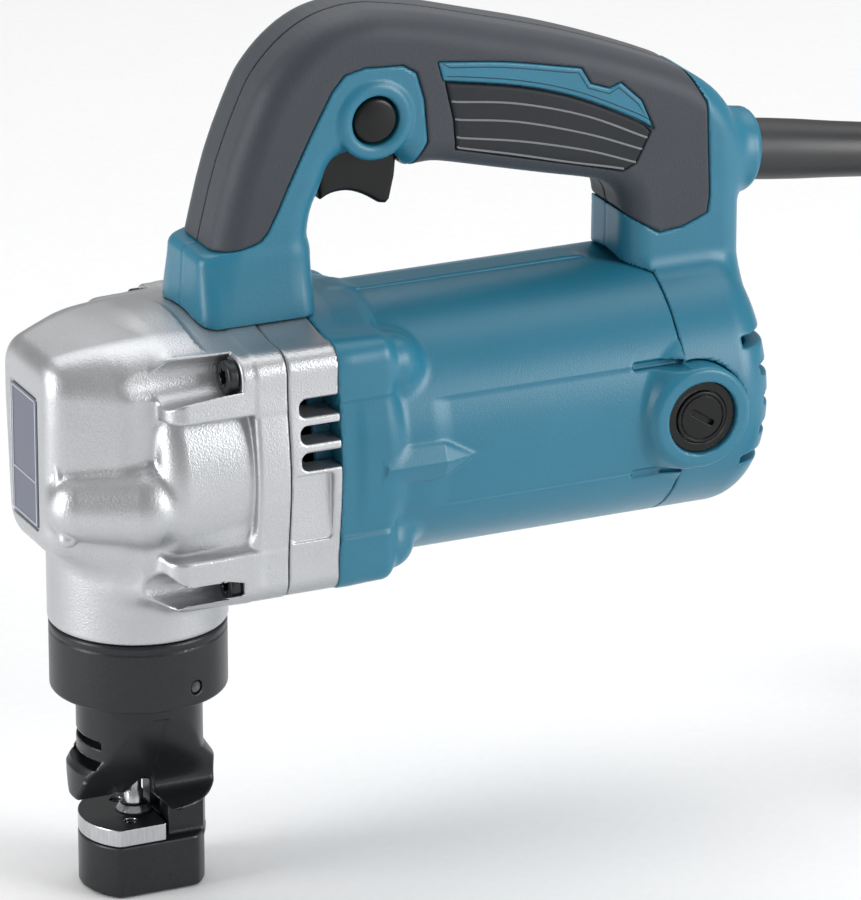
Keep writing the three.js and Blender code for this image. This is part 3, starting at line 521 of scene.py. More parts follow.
# ---------------------------------------------------------------- cord
def guard_point(distance, drop=0.0):
    along = np.array([math.cos(GUARD_DROOP), 0, -math.sin(GUARD_DROOP)])
    return GUARD_START + along * distance - np.array([0, 0, drop])


def coil_line():
    """A landing turn, then nine turns in three layers.

    Each turn steps over to the next a little short of where the one before it did.
    """
    slots = [(-1, 3), (-1, 2), (0, 2), (1, 2), (1, 1), (0, 1), (-1, 1), (-1, 0), (0, 0), (1, 0)]
    spots = np.array([(COIL_R + COIL_PITCH * out, COIL_PITCH * (up + 0.5)) for out, up in slots])
    line = []
    for travel in np.linspace(0, COIL_TRAVEL, COIL_POINTS):
        spot = spots[0]
        for k in range(9):
            past = travel - COIL_STEP_AT - COIL_STEP_EVERY * k
            spot = spot + (spots[k + 1] - spots[k]) * soft_step(past, -COIL_STEP_HALF, COIL_STEP_HALF)
        angle = math.radians(90 - travel)
        across, along = spot[0] * math.cos(angle), spot[0] * math.sin(angle)
        line.append([COIL_CENTRE[0] + across, COIL_CENTRE[1] + along, spot[1]])
    return line


def make_cord():
    hanging = [
        guard_point(GUARD_LENGTH - 2), guard_point(GUARD_LENGTH + 8), [273, 0, 185.2], [283, 0, 178.6],
        [290, 0, 168], [294, 0, 152], [295.6, 0, 130], [296, 0, 105], [296, 0, 80], [296.2, -0.2, 62],
        [298.2, -0.6, 49], [304, -1.2, 38.6], [313, -1.9, 31], [324.2, -2.7, 27.2],
    ]
    rise = [(23.5, 4.5), (16, 6.2), (8, 8), (0, 9.8), (-3, 10)]
    tail = [[*(PLUG_START - TAIL_HEADING * back)[:2], height] for back, height in rise]
    points = [list(map(float, point)) for point in (*hanging, *coil_line(), *tail)]
    curve = bpy.data.curves.new("mains_cord", "CURVE")
    curve.dimensions = "3D"
    curve.bevel_depth = CORD_D / 2 * MM
    curve.bevel_resolution = 5
    curve.resolution_u = 6
    curve.use_fill_caps = True
    spline = curve.splines.new("BEZIER")
    spline.bezier_points.add(len(points) - 1)
    for spot, point in zip(spline.bezier_points, points):
        spot.co = [value * MM for value in point]
        spot.handle_left_type = spot.handle_right_type = "AUTO"
    curve.materials.append(materials["rubber"])
    cord = bpy.data.objects.new("mains_cord", curve)
    bpy.context.scene.collection.objects.link(cord)
    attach(cord, "casing")
    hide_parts(*[name for name in ("cord", "cord_coil", "cord_tail") if name in frame["nodes"]])
    walk = np.array(points)
    return cord, float(np.linalg.norm(np.diff(walk, axis=0), axis=1).sum()) * MM


def make_guard():
    """The smooth tapered strain relief round the cord."""
    profile = [
        (0, -4), (8.6, -4), (9.1, -3.4), (9.1, 10), (8.9, 20), (8.4, 32), (8.1, 44), (7.7, 49),
        (6.6, 56), (5.8, 60), (5.3, GUARD_LENGTH), (4.2, GUARD_LENGTH), (0, GUARD_LENGTH),
    ]
    points, faces, _ = lathe(profile, 64)
    turn = math.pi / 2 + GUARD_DROOP
    x = points[:, 0] * math.cos(turn) + points[:, 2] * math.sin(turn)
    z = -points[:, 0] * math.sin(turn) + points[:, 2] * math.cos(turn)
    moved = np.stack([x, points[:, 1], z], 1) + GUARD_START
    return piece("cord_guard_moulding", (moved, faces, None), "rubber", replaces="cord_guard")


def beside_plug(along, across, up):
    """Turns the plug's own directions into the tool's."""
    side = np.array([-TAIL_HEADING[1], TAIL_HEADING[0], 0])
    return PLUG_START + np.outer(along, TAIL_HEADING) + np.outer(across, side) + np.outer(up, [0, 0, 1])


def make_plug():
    def field(x, y, z):
        u, v, up = x - PLUG_START[0], y - PLUG_START[1], z - PLUG_START[2]
        along = u * TAIL_HEADING[0] + v * TAIL_HEADING[1]
        across = v * TAIL_HEADING[0] - u * TAIL_HEADING[1]
        swell = soft_step(along, 8, 30)
        half = 8 + 7 * swell
        tall = 6 + 3.4 * swell
        body = meet(oblong(across, up, half, tall, 5 + swell), np.abs(along - 25) - 15, 3)
        body = join(body, slab(length(across, up) - 5.4, along, 0, 14, 0.6), 2)
        for k in range(4):
            inside = oblong(across, up, half - 0.7, tall - 0.7, 4)
            painted_groove_shadow = np.maximum(np.abs(along - 18 - 3.6 * k) - 0.7, -inside)
            body = cut(body, painted_groove_shadow, 0.6)
        return body

    moulding = surface(field, [248, -80, -0.5], [297, -40, 20], 0.6)
    body = piece("plug_moulding", moulding, "rubber", replaces="plug")
    pins = []
    for side in (-PIN_SPACING / 2, PIN_SPACING / 2):
        points, faces, _ = lathe([(0, 38), (2.4, 38), (2.4, 55.4), (1.9, 56.6), (0, 57)], 32)
        pins.append((beside_plug(points[:, 2], points[:, 0] + side, points[:, 1]), faces, None))
    return body, piece("plug_pins", together(*pins), "bright")


def make_tie():
    reach = 1.5 * CORD_D + 1.6
    middle_x = COIL_CENTRE[0] + COIL_R

    def field(x, y, z):
        u, v = x - middle_x, z - 1.5 * CORD_D - 0.35
        outer = oblong(u, v, reach, reach, 4.2)
        band = slab(np.abs(outer + 0.55) - 0.55, y - COIL_CENTRE[1], -4, 4, 0.3)
        return meet(band, 0.05 - z)

    low = [middle_x - 15, COIL_CENTRE[1] - 6, -1]
    high = [middle_x + 15, COIL_CENTRE[1] + 6, 27]
    return piece("coil_strap", surface(field, low, high, 0.4), "plastic", replaces="coil_tie")


# ---------------------------------------------------------------- castings
def section(y, lift):
    """The rounded square that the casings share, about the motor line."""
    return join(oblong(y, lift, 40.0, 37.4, 6.5), length(y, lift) - CASE_R, 8)


def head_nose(x, side, z):
    front = HEAD_FRONT_X
    deep = np.clip((x - front) / (CREASE_X - front), 0, 1)
    half = join(18.4 + 0.587 * (x - front) - 1.6 * deep * (1 - deep), 29.5 + 0.07 * (x - CREASE_X), 1.5)
    half = half - 2.2 * np.clip((150 - z) / 27, 0, 1.5) * (1 - deep)
    top = 173.5 - 0.0052 * np.minimum(x, 0) ** 2
    bottom = meet(110 - 0.33 * (x - front), 103.5, 3)
    middle = (top + bottom) / 2
    radius = np.where(z > middle, 9 + 6 * deep, 8 + 5 * deep)
    shell = oblong(side, z - middle, half, (top - bottom) / 2, radius)
    return meet(meet(shell, front - x, 5), x - 9)


WEB = Outline([(-15, -22), (-10, -30), (20, -38), (20, 38), (-10, 30), (-15, 22)])


def head_outer(x, side, z):
    lift = z - MOTOR_Z
    nose = head_nose(x, side, z)
    drum = slab(length(side, lift) - 39.7, x, CASE_FRONT_X, 60, 7)
    corner = slab(section(side, lift), x, CASE_FRONT_X + 0.5, 60, 6)
    corner = meet(corner, BAND_HALF - np.abs(lift), 1.4)
    flange = slab(section(side, lift), x, FLANGE_X, 60, 1.6)
    case = join(join(drum, corner, 1.2), flange, 0.8)
    whole = join(nose, case, 2.4)
    neck = length(x, side) - NECK_R
    web = slab(WEB(x, side), z, 97.8, 118, 4)
    stem = join(slab(neck, z, NUT_HIGH_Z + 0.3, 120, 1.0), web, 7)
    return join(whole, stem, 5)


def head_field(x, y, z):
    side = np.abs(y)
    lift = z - MOTOR_Z
    near_lobe = capsule(x, -y, z, (-24.5, 18.8, 126.5), (-8.5, 26.8, 127), 10.3, 12.6)
    far_lobe = capsule(x, y, z, (-16, 18, 126.5), (-8.5, 26, 127), 9.5, 12)
    shell = join(head_outer(x, side, z), join(near_lobe, far_lobe), 2.6)
    shell = meet(shell, x - CASE_REAR_X, 0.7)
    tooth = capsule(x, -y, z, (-30.8, 17.6, 138.5), (-29.6, 21.2, 118), 0.8, 3)
    shell = join(shell, meet(tooth, 115.6 - z, 0.6), 0.7)
    depth = 7.4 - 1.2 * soft_step(x, -6, POCKET_X)
    upper = length(side - 35, lift - 32.6) - depth
    upper = meet(upper, x - POCKET_X)
    lower = capsule(x, side, lift, (-7.5, 34.6, -30.4), (60, 34.6, -30.4), 5.3, 5.3)
    lower = meet(lower, x - POCKET_X)
    shell = cut(cut(shell, upper, 0.9), lower, 0.9)
    panel = slab(oblong(y - PLATE_Y, z - PLATE_Z, 10.2, 20.2, 1.6), x, -40, HEAD_FRONT_X + 0.7, 0.2)
    shell = cut(shell, panel, 0.3)
    bore = length(x, y)
    shell = cut(shell, slab(bore - BORE_R, z, 60, 118))
    crank_room = np.maximum(np.maximum(np.abs(x + 0.5) - 7.5, side - 20.5), np.abs(z - 137) - 25)
    gear_wells = join(length(y, z - 141.9) - 25, length(y + 13, z - 115.5) - 19.5)
    return cut(cut(shell, crank_room), slab(gear_wells, x, 17.5, 60))


def bearing_box_field(x, y, z):
    side = np.abs(y)
    lift = z - MOTOR_Z
    box = slab(section(side, lift), x, CASE_REAR_X + 0.3, BOX_REAR_X, 0.6)
    panel = slab(oblong(x - 37.6, z - 123.6, 6.2, 10.2, 1.2), side, 40.1, 60, 0)
    box = cut(box, panel, 0.8)
    for low in (150.8, 143.0, 135.2):
        slot = slab(oblong(x - 44, z - low - 2.7, 10, 2.7, 2.2), side, 25, 60)
        box = cut(box, slot, 0.5)
    box = cut(box, slab(length(y, lift) - 34.5, x, 38, 60))
    return cut(box, slab(length(y, lift) - 11.2, x, 0, 60))


def motor_field(x, y, z):
    side = np.abs(y)
    lift = z - MOTOR_Z
    radius = length(y, lift)
    panel = soft_step(x, 76, 83) * soft_step(lift, -17.4, -16.4) * (1 - soft_step(lift, 15.4, 16.4))
    barrel = slab(radius - BARREL_R + 0.6 * panel, x, 55, 300)
    barrel = meet(barrel, x - BARREL_REAR_X, 0.5)
    strip = slab(oblong(y, lift - BARREL_R, 4.2, 0.7, 0.5), x, 60, 150, 0.4)
    barrel = join(barrel, strip, 0.5)
    core = section(side, lift)
    flange = meet(core + 0.9 * (1 - soft_step(np.abs(lift), 19.8, 21.4)), x - 64.5, 4)
    flange = meet(flange, BOX_REAR_X + 0.3 - x, 0.5)
    upper = capsule(x, side, lift, (50, 30.6, 27.6), (66.5, 30.2, 27.2), 10.3, 8.6)
    lower = capsule(x, side, lift, (50, 30.4, -28.2), (65, 29.6, -27.4), 10.2, 8.6)
    bosses = meet(join(upper, lower), BOX_REAR_X + 0.3 - x, 0.5)
    bosses = meet(bosses, core - 0.05, 1)
    bosses = meet(bosses, 17.5 - np.abs(lift), 2)
    shell = join(barrel, join(flange, bosses, 2), 5)
    off = np.abs(lift + 1.4)
    wedge = side - (43.4 - 0.5 * off - 0.3 * np.maximum(x - 79, 0))
    wedge = meet(wedge, off - 5.5, 1)
    wedge = meet(wedge, 0.75 * (off - 0.55 * (89 - x)), 0.8)
    wedge = meet(np.maximum(wedge, 60 - x), 30 - side)
    shell = join(shell, wedge, 1.2)
    boss = slab(length(x - BRUSH_X, lift) - BRUSH_BOSS_R, side, 10, 44, 1.6)
    flare = slab(length(x - BRUSH_X, lift) - BRUSH_BOSS_R - 0.55 * (44 - side), side, 20, 43, 1)
    flare = meet(flare, x - BARREL_REAR_X, 0.5)
    shell = join(shell, join(boss, flare, 1), 1.5)
    scoop = length((x - 158) / 19, y / 14.5, (z - 175.6) / 5.4) - 1
    shell = cut(shell, scoop * 5, 1.5)
    inner = slab(radius - 36.2, x, 150, 179, 6)
    shell = join(shell, inner)
    collar = slab(np.abs(radius - 33) - 0.9, x, 41.6, 50)
    shell = cut(shell, slab(radius - 34.4, x, 0, 137))
    shell = join(shell, collar)
    shell = cut(shell, slab(radius - 33, x, 136, 174))
    recess = slab(length(x - BRUSH_X, lift) - 11, side, 41.6, 60, 0.4)
    shell = cut(shell, recess, 0.5)
    shell = cut(shell, slab(length(x - BRUSH_X, lift) - 6.5, side, 0, 60))
    for low in (115.0, 148.0):
        slot = slab(oblong(x - 149, z - low - 0.85, 8, 1.15, 1.1), side, 35, 60)
        shell = cut(shell, slot, 0.6)
    return shell


def make_castings():
    head = surface(head_field, [-36, -43, 80], [33, 43, 177], 0.75)
    piece("crank_housing_casting", head, "casting", replaces="crank_housing")
    box = surface(bearing_box_field, [29, -43, 90], [49, 43, 176], 0.7)
    piece("bearing_box_casting", box, "casting", replaces="bearing_box")
    motor = surface(motor_field, [40, -46, 90], [183, 46, 176], 0.85)
    piece("motor_housing_moulding", motor, "teal", replaces="motor_housing")


def make_plate():
    """The plate on the head's face: plain, with a raised border and a dividing bar."""
    face = HEAD_FRONT_X + 0.1

    def field(x, y, z):
        return slab(oblong(y - PLATE_Y, z - PLATE_Z, 9.6, 19.6, 1.2), x, face, HEAD_FRONT_X + 0.62, 0.15)

    low, high = [HEAD_FRONT_X - 1, -10, 115], [HEAD_FRONT_X + 2, 12.5, 158]
    piece("head_plate_sheet", surface(field, low, high, 0.28), "plate", replaces="head_plate")
    lines = []
    corners = [(-1, -1), (1, -1), (1, 1), (-1, 1), (-1, -1)]
    ring = [(PLATE_Y + a * 8.7, PLATE_Z + b * 18.7) for a, b in corners]
    steps = np.linspace(0, 1, 12)[:, None]
    for start, end in zip(ring, ring[1:]):
        flat = np.array(start) * (1 - steps) + np.array(end) * steps
        lines.append(tube(np.column_stack([np.full(12, face), flat]), 0.24, 6))
    bar = np.linspace(-7.4, 10, 12)
    lines.append(tube(np.stack([np.full(12, face), bar, np.full(12, 130.5)], 1), 0.24, 6))
    piece("head_plate_border", together(*lines), "line")


def make_case_screws():
    for number, (side, up) in enumerate([(-1, -1), (-1, 1), (1, -1), (1, 1)], 1):
        y0, z0 = side * SCREW_Y, MOTOR_Z + up * SCREW_Z

        def field(x, y, z):
            u, v = y - y0, z - z0
            radius = length(u, v)
            head = slab(radius - 4.9, x, 13.2, POCKET_X - 0.2, 0.9)
            angle = np.arctan2(v, u)
            star = radius - 2.35 - 0.35 * np.cos(6 * angle)
            head = cut(head, slab(star, x, 0, 15.2), 0.3)
            return join(head, slab(radius - 2.9, x, 15.5, 58, 0.5))

        shape = surface(field, [12, y0 - 6, z0 - 6], [59.5, y0 + 6, z0 + 6], 0.35)
        piece(f"case_screw_{number}_steel", shape, "blackened", replaces=f"case_screw_{number}")


# ---------------------------------------------------------------- handle
OUTER_LINE = [
    (15.5, 168), (15.5, 174.2), (19.6, 192.8), (25.9, 216.8), (33.9, 236.2), (38.6, 243.6), (44.7, 249.8),
    (51.5, 254.4), (58.9, 257.2), (69, 258.4), (79, 257), (90, 254.7), (109, 249.5), (128, 244.1),
    (147.4, 237.4), (166.9, 229.4), (176.7, 223.6), (183.2, 217.2), (187.2, 209.5), (188, 200), (188, 190),
]
INNER_LINE = [
    (149.5, 176), (149.5, 188), (148, 193.4), (144, 197.2), (138, 199.2), (124, 202.5), (105, 207.2),
    (91, 210.6), (85.5, 210.9), (81, 210.7), (78.2, 212.6), (75.5, 215.6), (70, 216.9), (62, 217.1),
    (57, 215), (54, 208), (51, 201), (49.6, 190), (49.5, 174.2), (49.5, 166),
]
HANDLE = Outline([*through(OUTER_LINE, 3), (REAR_X, 140), (149.5, 140), *through(INNER_LINE, 3)])
OVERMOULD = Outline([
    (0, 191),
    *through([(21, 193.5), (30.5, 195), (35.6, 198.6), (42.2, 212), (49.1, 225.7), (55.7, 237.6)], 2),
    (59.5, 242), (66, 243.4), (77.8, 242.7), (82, 240), (84.4, 231.8), (85.5, 219), (81.2, 210.4),
    (80.5, 196), (140, 184), (147.6, 189.6), (151.9, 186), (159.7, 181.2), (167.2, 182), (175.3, 185.2),
    (176, 190.6), (175, 218.6), (169.5, 229), (176, 245), (176, 275), (0, 275),
])
ACCENT_TOP = [(88.7, 242.2), (110.2, 239.5), (134, 234.6), (137, 229.6), (143, 227.4), (146.6, 228.7),
              (153.4, 222.4)]
ACCENT_BOTTOM = [(157.4, 213.3), (151.5, 217.2), (132.5, 226.3), (114, 232.1), (90.3, 236.6)]
PAD_TOP = [(91, 235.9), (114, 231.5), (132.5, 225.7), (151.5, 216.6), (156.4, 212.6)]
PAD_BOTTOM = [(151.7, 203.6), (147.5, 201.6), (94.4, 215.4), (93.6, 224.6)]
ACCENT = Outline([*through(ACCENT_TOP[:3]), *ACCENT_TOP[3:], *through(ACCENT_BOTTOM)], 0.25, 10)
PAD = Outline([*through(PAD_TOP), PAD_BOTTOM[0], *through(PAD_BOTTOM[1:3]), PAD_BOTTOM[3]], 0.25, 10)
RIBS = [
    [(92.5, 230.1), (113, 226.9), (135, 220.3), (155.2, 210.9)],
    [(93.5, 224.6), (114, 221.2), (136, 214.6), (153.6, 207.6)],
    [(93.6, 219.2), (115, 215.2), (136, 209.6), (151.6, 203.9)],
    [(93.6, 215.9), (112, 211.5), (132, 206), (147.6, 202.3)],
]
TRIGGER = Outline([
    (53.9, 219), (53.7, 210), *through([(54.5, 203.4), (58, 205), (63, 205.2), (68, 203.4), (73, 200.2)], 3),
    (75.2, 199.8), (76.4, 201), (78, 208), (79, 219),
], 0.25, 10)


def handle_bar(x, side, z):
    return slab(HANDLE(x, z), side, -HANDLE_HALF, HANDLE_HALF, HANDLE_EDGE)


def beside_guard(x, z):
    """How far a point lies along the guard's line and above it."""
    u, v = x - GUARD_START[0], z - GUARD_START[2]
    down, ahead = math.sin(GUARD_DROOP), math.cos(GUARD_DROOP)
    return u * ahead - v * down, u * down + v * ahead


def handle_body(x, side, z):
    body = handle_bar(x, side, z)
    flare = soft_step(z, 192, 172)
    foot = slab(oblong(x - 32.5, side, 17.2 + 0.4 * flare, 14.6 + 3.6 * flare, 5), z, 160, 193, 3)
    body = join(body, foot, 4)
    along, across = beside_guard(x, z)
    collar = slab(length(across, side) - 12.6, along, -14, 3.2, 2.6)
    body = join(body, collar, 5)
    cover = slab(length(side, z - MOTOR_Z) - BARREL_R, x, 130, REAR_X, 13)
    cover = meet(cover, BARREL_REAR_X + 0.25 - x)
    return join(body, cover, 5)


def handle_room(x, side, z):
    """What the handle leaves free: casings, brush bosses, the guard, the motor's rear and the trigger."""
    lift = z - MOTOR_Z
    room = slab(section(side, lift) - 0.25, x, 0, 66)
    room = join(room, slab(length(side, lift) - BARREL_R - 0.25, x, 60, BARREL_REAR_X + 0.25))
    room = join(room, slab(length(x - BRUSH_X, lift) - BRUSH_BOSS_R - 0.35, side, 24, 60))
    room = join(room, slab(length(side, lift) - REAR_ROOM_R, x, 140, REAR_ROOM_X, 7))
    along, across = beside_guard(x, z)
    room = join(room, slab(length(across, side) - 9.4, along, -12, 20))
    room = join(room, slab(TRIGGER(x, z) - 0.6, side, -10, 10, 0.6))
    return room


def handle_half_field(lock):
    def field(x, y, z):
        side = np.abs(y)
        plain = handle_body(x, side, z)
        body = plain
        if lock:
            radius = length(x - LOCK_X, z - LOCK_Z)
            bead = length(radius - 9.4, 1.35 * (side - 14.9)) - 2.4
            body = join(body, bead, 1.0)
        bed = np.maximum(OVERMOULD(x, z) - 0.12, -(plain + SKIN + 0.2))
        body = cut(body, bed, 0.7)
        hollow = np.maximum(HANDLE(x, z) + HANDLE_WALL, side - HANDLE_HALF + HANDLE_WALL)
        body = cut(body, np.maximum(hollow, 196 - z))
        body = cut(body, handle_room(x, side, z), 0.5)
        if lock:
            body = cut(body, slab(radius - 7.3, side, 5, 30), 0.6)
        for step in range(-2, 3):
            slot = slab(oblong(side - 27.5, z - MOTOR_Z - 9 * step, 9, 1.7, 1.5), x, 177, 300)
            body = cut(body, slot, 0.7)
        return meet(body, 0.12 - side, 0.7)

    return field


def grip_field(x, y, z):
    side = np.abs(y)
    body = handle_bar(x, side, z)
    skin = cut(body, body + SKIN)
    skin = meet(skin, OVERMOULD(x, z) + 0.12, 0.8)
    proud = np.minimum(ACCENT(x, z), PAD(x, z)) - 0.2
    skin = cut(skin, np.maximum(proud, 6 - side), 0.6)
    along = beside_guard(x, z)[0]
    skin = cut(skin, np.maximum(length(side, z - GUARD_START[2] + 1) - 14, -along - 20))
    return meet(skin, 0.1 - side, 0.7)


def inlay_field(outline, proud, edge):
    def field(x, y, z):
        side = np.abs(y)
        body = handle_bar(x, side, z)
        plate = meet(body - proud, outline(x, z), edge)
        return np.maximum(plate, np.maximum(-(body + 1.5), 6 - side))

    return field


def on_side(field, line, side):
    """Points of a flat line, laid on the outer side of a field."""
    flat = np.array(line)
    start = np.stack([flat[:, 0], np.full(len(flat), side * (HANDLE_HALF + 1.0)), flat[:, 1]], 1)
    return onto(field, start, 4)


def inner_line(points, distance):
    """A closed line that runs inside an outline at a distance."""
    line = np.array(points, float)
    turned = np.roll(line, -1, 0) - np.roll(line, 1, 0)
    normal = np.stack([-turned[:, 1], turned[:, 0]], 1)
    normal /= np.linalg.norm(normal, axis=1)[:, None]
    area = (line[:, 0] * np.roll(line[:, 1], -1) - np.roll(line[:, 0], -1) * line[:, 1]).sum()
    return line + normal * distance * np.sign(area)


def make_handle():
    for side, word in ((-1, "left"), (1, "right")):
        field = handle_half_field(side < 0)
        shape = surface(field, [8, -0.6, 88], [200, 43, 262], 0.85)
        piece(f"handle_{word}_shell", mirrored(shape, side), "teal",
              replaces=f"handle_{word}")
        grip = surface(grip_field, [8, -0.6, 178], [180, 17.5, 262], 0.6)
        piece(f"grip_{word}_skin", mirrored(grip, side), "grip", replaces=f"grip_{word}")
        accent_shape = inlay_field(ACCENT, 0.25, 0.8)
        accent = surface(accent_shape, [86, 5, 208], [160, 18, 246], 0.4)
        piece(f"grip_accent_{word}_trim", mirrored(accent, side), "teal",
              replaces=f"grip_accent_{word}")
        # A thin dark teal line laid 1.5 mm inside the accent trim's edge: a painted groove shadow, since the
        # trim's shape cuts no groove there.
        painted_groove_shadow = inner_line([*through(ACCENT_TOP[:3], 6), *ACCENT_TOP[3:], *through(ACCENT_BOTTOM, 4)], 1.5)
        painted_groove_shadow = on_side(accent_shape, painted_groove_shadow, side)
        piece(f"grip_accent_{word}_groove", tube(painted_groove_shadow, 0.16, 6), "painted_groove_shadow")
        pad_shape = inlay_field(PAD, 0.35, 1.2)
        pad = surface(pad_shape, [89, 5, 199], [160, 18, 238], 0.4)
        piece(f"grip_pad_{word}_rubber", mirrored(pad, side), "pad",
              replaces=f"grip_pad_{word}")
        ribs = [tube(on_side(pad_shape, through(line, 12), side), 0.34, 6) for line in RIBS]
        piece(f"grip_pad_{word}_ribs", together(*ribs), "rib")


def make_trigger():
    def field(x, y, z):
        blade = slab(TRIGGER(x, z), y, -9.5, 9.5, 1.8)
        stem = slab(oblong(x - 67, z - 216, 10, 5.4, 1), y, -6.8, 6.8, 0.5)
        return join(blade, stem)

    shape = surface(field, [51, -11, 197], [82, 11, 223], 0.5)
    piece("trigger_blade", shape, "plastic", "trigger", replaces="trigger")


def make_lock_button():
    def field(x, y, z):
        radius = length(x - LOCK_X, z - LOCK_Z)
        dome = -y - 16.4 + 0.014 * radius * radius
        return meet(meet(radius - 6.85, dome, 1.4), y + 12.7, 0.3)

    shape = surface(field, [61, -18, 219], [77, -9.5, 236], 0.32)
    piece("lock_button_cap", shape, "plastic", "lock_button", replaces="lock_button")


def make_brush_caps():
    for side, word in ((-1, "left"), (1, "right")):
        def cap(x, y, z):
            u, v = x - BRUSH_X, z - MOTOR_Z
            radius = length(u, v)
            disc = slab(radius - 7.85, y, 39.9, 43, 0.4)
            disc = cut(disc, slab(np.abs(radius - 6.7) - 0.22, y, 42.7, 50), 0.15)
            a = u * math.cos(CAP_SLOT_TURN) + v * math.sin(CAP_SLOT_TURN)
            b = -u * math.sin(CAP_SLOT_TURN) + v * math.cos(CAP_SLOT_TURN)
            slot = slab(oblong(a, b, 4.4, 0.85, 0.7), y, 41.6, 50)
            return cut(disc, slot, 0.3)

        def bezel(x, y, z):
            radius = length(x - BRUSH_X, z - MOTOR_Z)
            return slab(np.abs(radius - 9.45) - 1.4, y, 41.7, 42.5, 0.3)

        low, high = [BRUSH_X - 9, 39, MOTOR_Z - 9], [BRUSH_X + 9, 44, MOTOR_Z + 9]
        shape = surface(cap, low, high, 0.28)
        piece(f"brush_cap_{word}_disc", mirrored(shape, side), "plastic",
              replaces=f"brush_cap_{word}")
        low, high = [BRUSH_X - 12, 41, MOTOR_Z - 12], [BRUSH_X + 12, 43.2, MOTOR_Z + 12]
        shape = surface(bezel, low, high, 0.3)
        piece(f"brush_ring_{word}", mirrored(shape, side), "plastic")


# ---------------------------------------------------------------- cutting end
def holder_radius(z):
    heights = [26.2, 28.4, 29.2, 37.6, 38.3, 42.2, 43.2, 65, 65.1, 68.1, 68.2, 80]
    radii = [18.3, 21.1, COLLAR_R, COLLAR_R, 21.1, 18.6, HOLDER_R, HOLDER_R, COLLAR_R, COLLAR_R, 15.1, 15.1]
    return np.interp(z, heights, radii)


COLUMN = Outline([(4.4, -10), (15.6, -10), (18.3, -5), (18.3, 5), (15.6, 10), (4.4, 10)], 0.25, 16)
SCREW_PLACES = [(-6.4, -7.8), (-4.4, 8.6)]


def foot_outline(x, y):
    return meet(length(x, y) - HOLDER_R, np.abs(y) - HOLDER_FLAT_Y, 0.8)


def holder_field(x, y, z):
    side = np.abs(y)
    radius = length(x, y)
    upper = meet(radius - holder_radius(z), 26.2 - z, 0.8)
    upper = meet(upper, z - 80, 0.5)
    foot = slab(foot_outline(x, y), z, 0, DIE_SEAT_Z, 0.7)
    column = slab(COLUMN(x, y), z, DIE_SEAT_Z - 1, 30)
    body = join(join(foot, column, 1.6), upper, 1.2)
    throat = np.maximum(np.maximum(x - 4.5, z - THROAT_TOP_Z), DIE_SEAT_Z + 0.3 - z)
    body = cut(body, throat, 0.5)
    slant = (side - 3 - 0.57 * (z - THROAT_TOP_Z)) * 0.87
    slant = slant - 0.35 + 0.004 * (z - 42) ** 2 * (z < 56)
    front = meet(meet(-slant, np.maximum(z - 56.5, x - 0.9), 1.2), 26 - z)
    rear = meet(meet(-slant, z - 56.5, 1.2), 28.5 - z, 9)
    body = cut(cut(body, front, 0.9), rear, 0.9)
    undercut = capsule(x, side, z, (8, 17.5, 21.6), (30, 17.5, 21.6), 4.9, 4.9)
    body = cut(body, undercut, 0.8)
    for low in (39.6, 45.8):
        gauge = slab(oblong(y, z - low - 1.2, 9.4, 1.2, 0.4), x, -60, -14.4)
        body = cut(body, gauge, 0.25)
    body = cut(body, slab(radius - 6, z, 20, 61))
    body = cut(body, slab(radius - 10, z, 60, 90))
    body = cut(body, slab(length(x - PUNCH_X, y) - 4.2, z, 6, 30))
    body = cut(body, slab(oblong(y, z - 9.2, 3.4, 3.2, 0.8), x, PUNCH_X, 40), 0.3)
    for x0, y0 in SCREW_PLACES:
        body = cut(body, slab(length(x - x0, y - y0) - 1.9, z, 8, 20))
    return body


def die_field(x, y, z):
    plate = slab(foot_outline(x, y), z, DIE_SEAT_Z + 0.3, DIE_TOP_Z, 0.45)
    crown = length(x - PUNCH_X, y) - np.interp(z, [20, DIE_TOP_Z, DIE_CROWN_Z], [6.2, 5.6, 3.7])
    crown = meet(crown, z - DIE_CROWN_Z, 0.5)
    die = join(plate, np.maximum(crown, 18 - z), 0.6)
    back = (x - 3 - 0.055 * y) * 0.998
    die = meet(die, back, 0.3)
    die = cut(die, slab(length(x - PUNCH_X, y) - PUNCH_FOOT_R - 0.12, z, 0, 40), 0.25)
    for x0, y0 in SCREW_PLACES:
        die = cut(die, slab(length(x - x0, y - y0) - 1.95, z, 0, 40), 0.25)
    return die


def make_cutting_end():
    shape = surface(holder_field, [-23, -23, -1], [23, 23, 81.5], 0.45)
    piece("die_holder_body", shape, "blackened", "holder", replaces="die_holder")
    shape = surface(die_field, [-20, -16, 15], [7, 16, 25.5], 0.3)
    plate = piece("die_plate", shape, "bright", "holder", replaces="die")
    # Painted shade: the die's faces that point up take the dark black-oxide finish, and the rest stay bright
    # ground steel.
    plate.data.materials.append(materials["blackened"])
    for polygon in plate.data.polygons:
        polygon.material_index = int(polygon.normal.z > 0.6)
    for number, (x0, y0) in enumerate(SCREW_PLACES, 1):
        def field(x, y, z):
            u, v = x - x0, y - y0
            head = slab(length(u, v) - 1.75, z, 8.4, 20.7, 0.25)
            slanted = np.maximum(np.abs(0.5 * u + 0.866 * v), np.abs(0.5 * u - 0.866 * v))
            hexagon = np.maximum(np.abs(u), slanted)
            return cut(head, slab(hexagon - 0.85, z, 19.2, 30))

        shape = surface(field, [x0 - 2.4, y0 - 2.4, 8], [x0 + 2.4, y0 + 2.4, 21.4], 0.2)
        piece(f"die_screw_{number}_steel", shape, "blackened", "holder", replaces=f"die_screw_{number}")


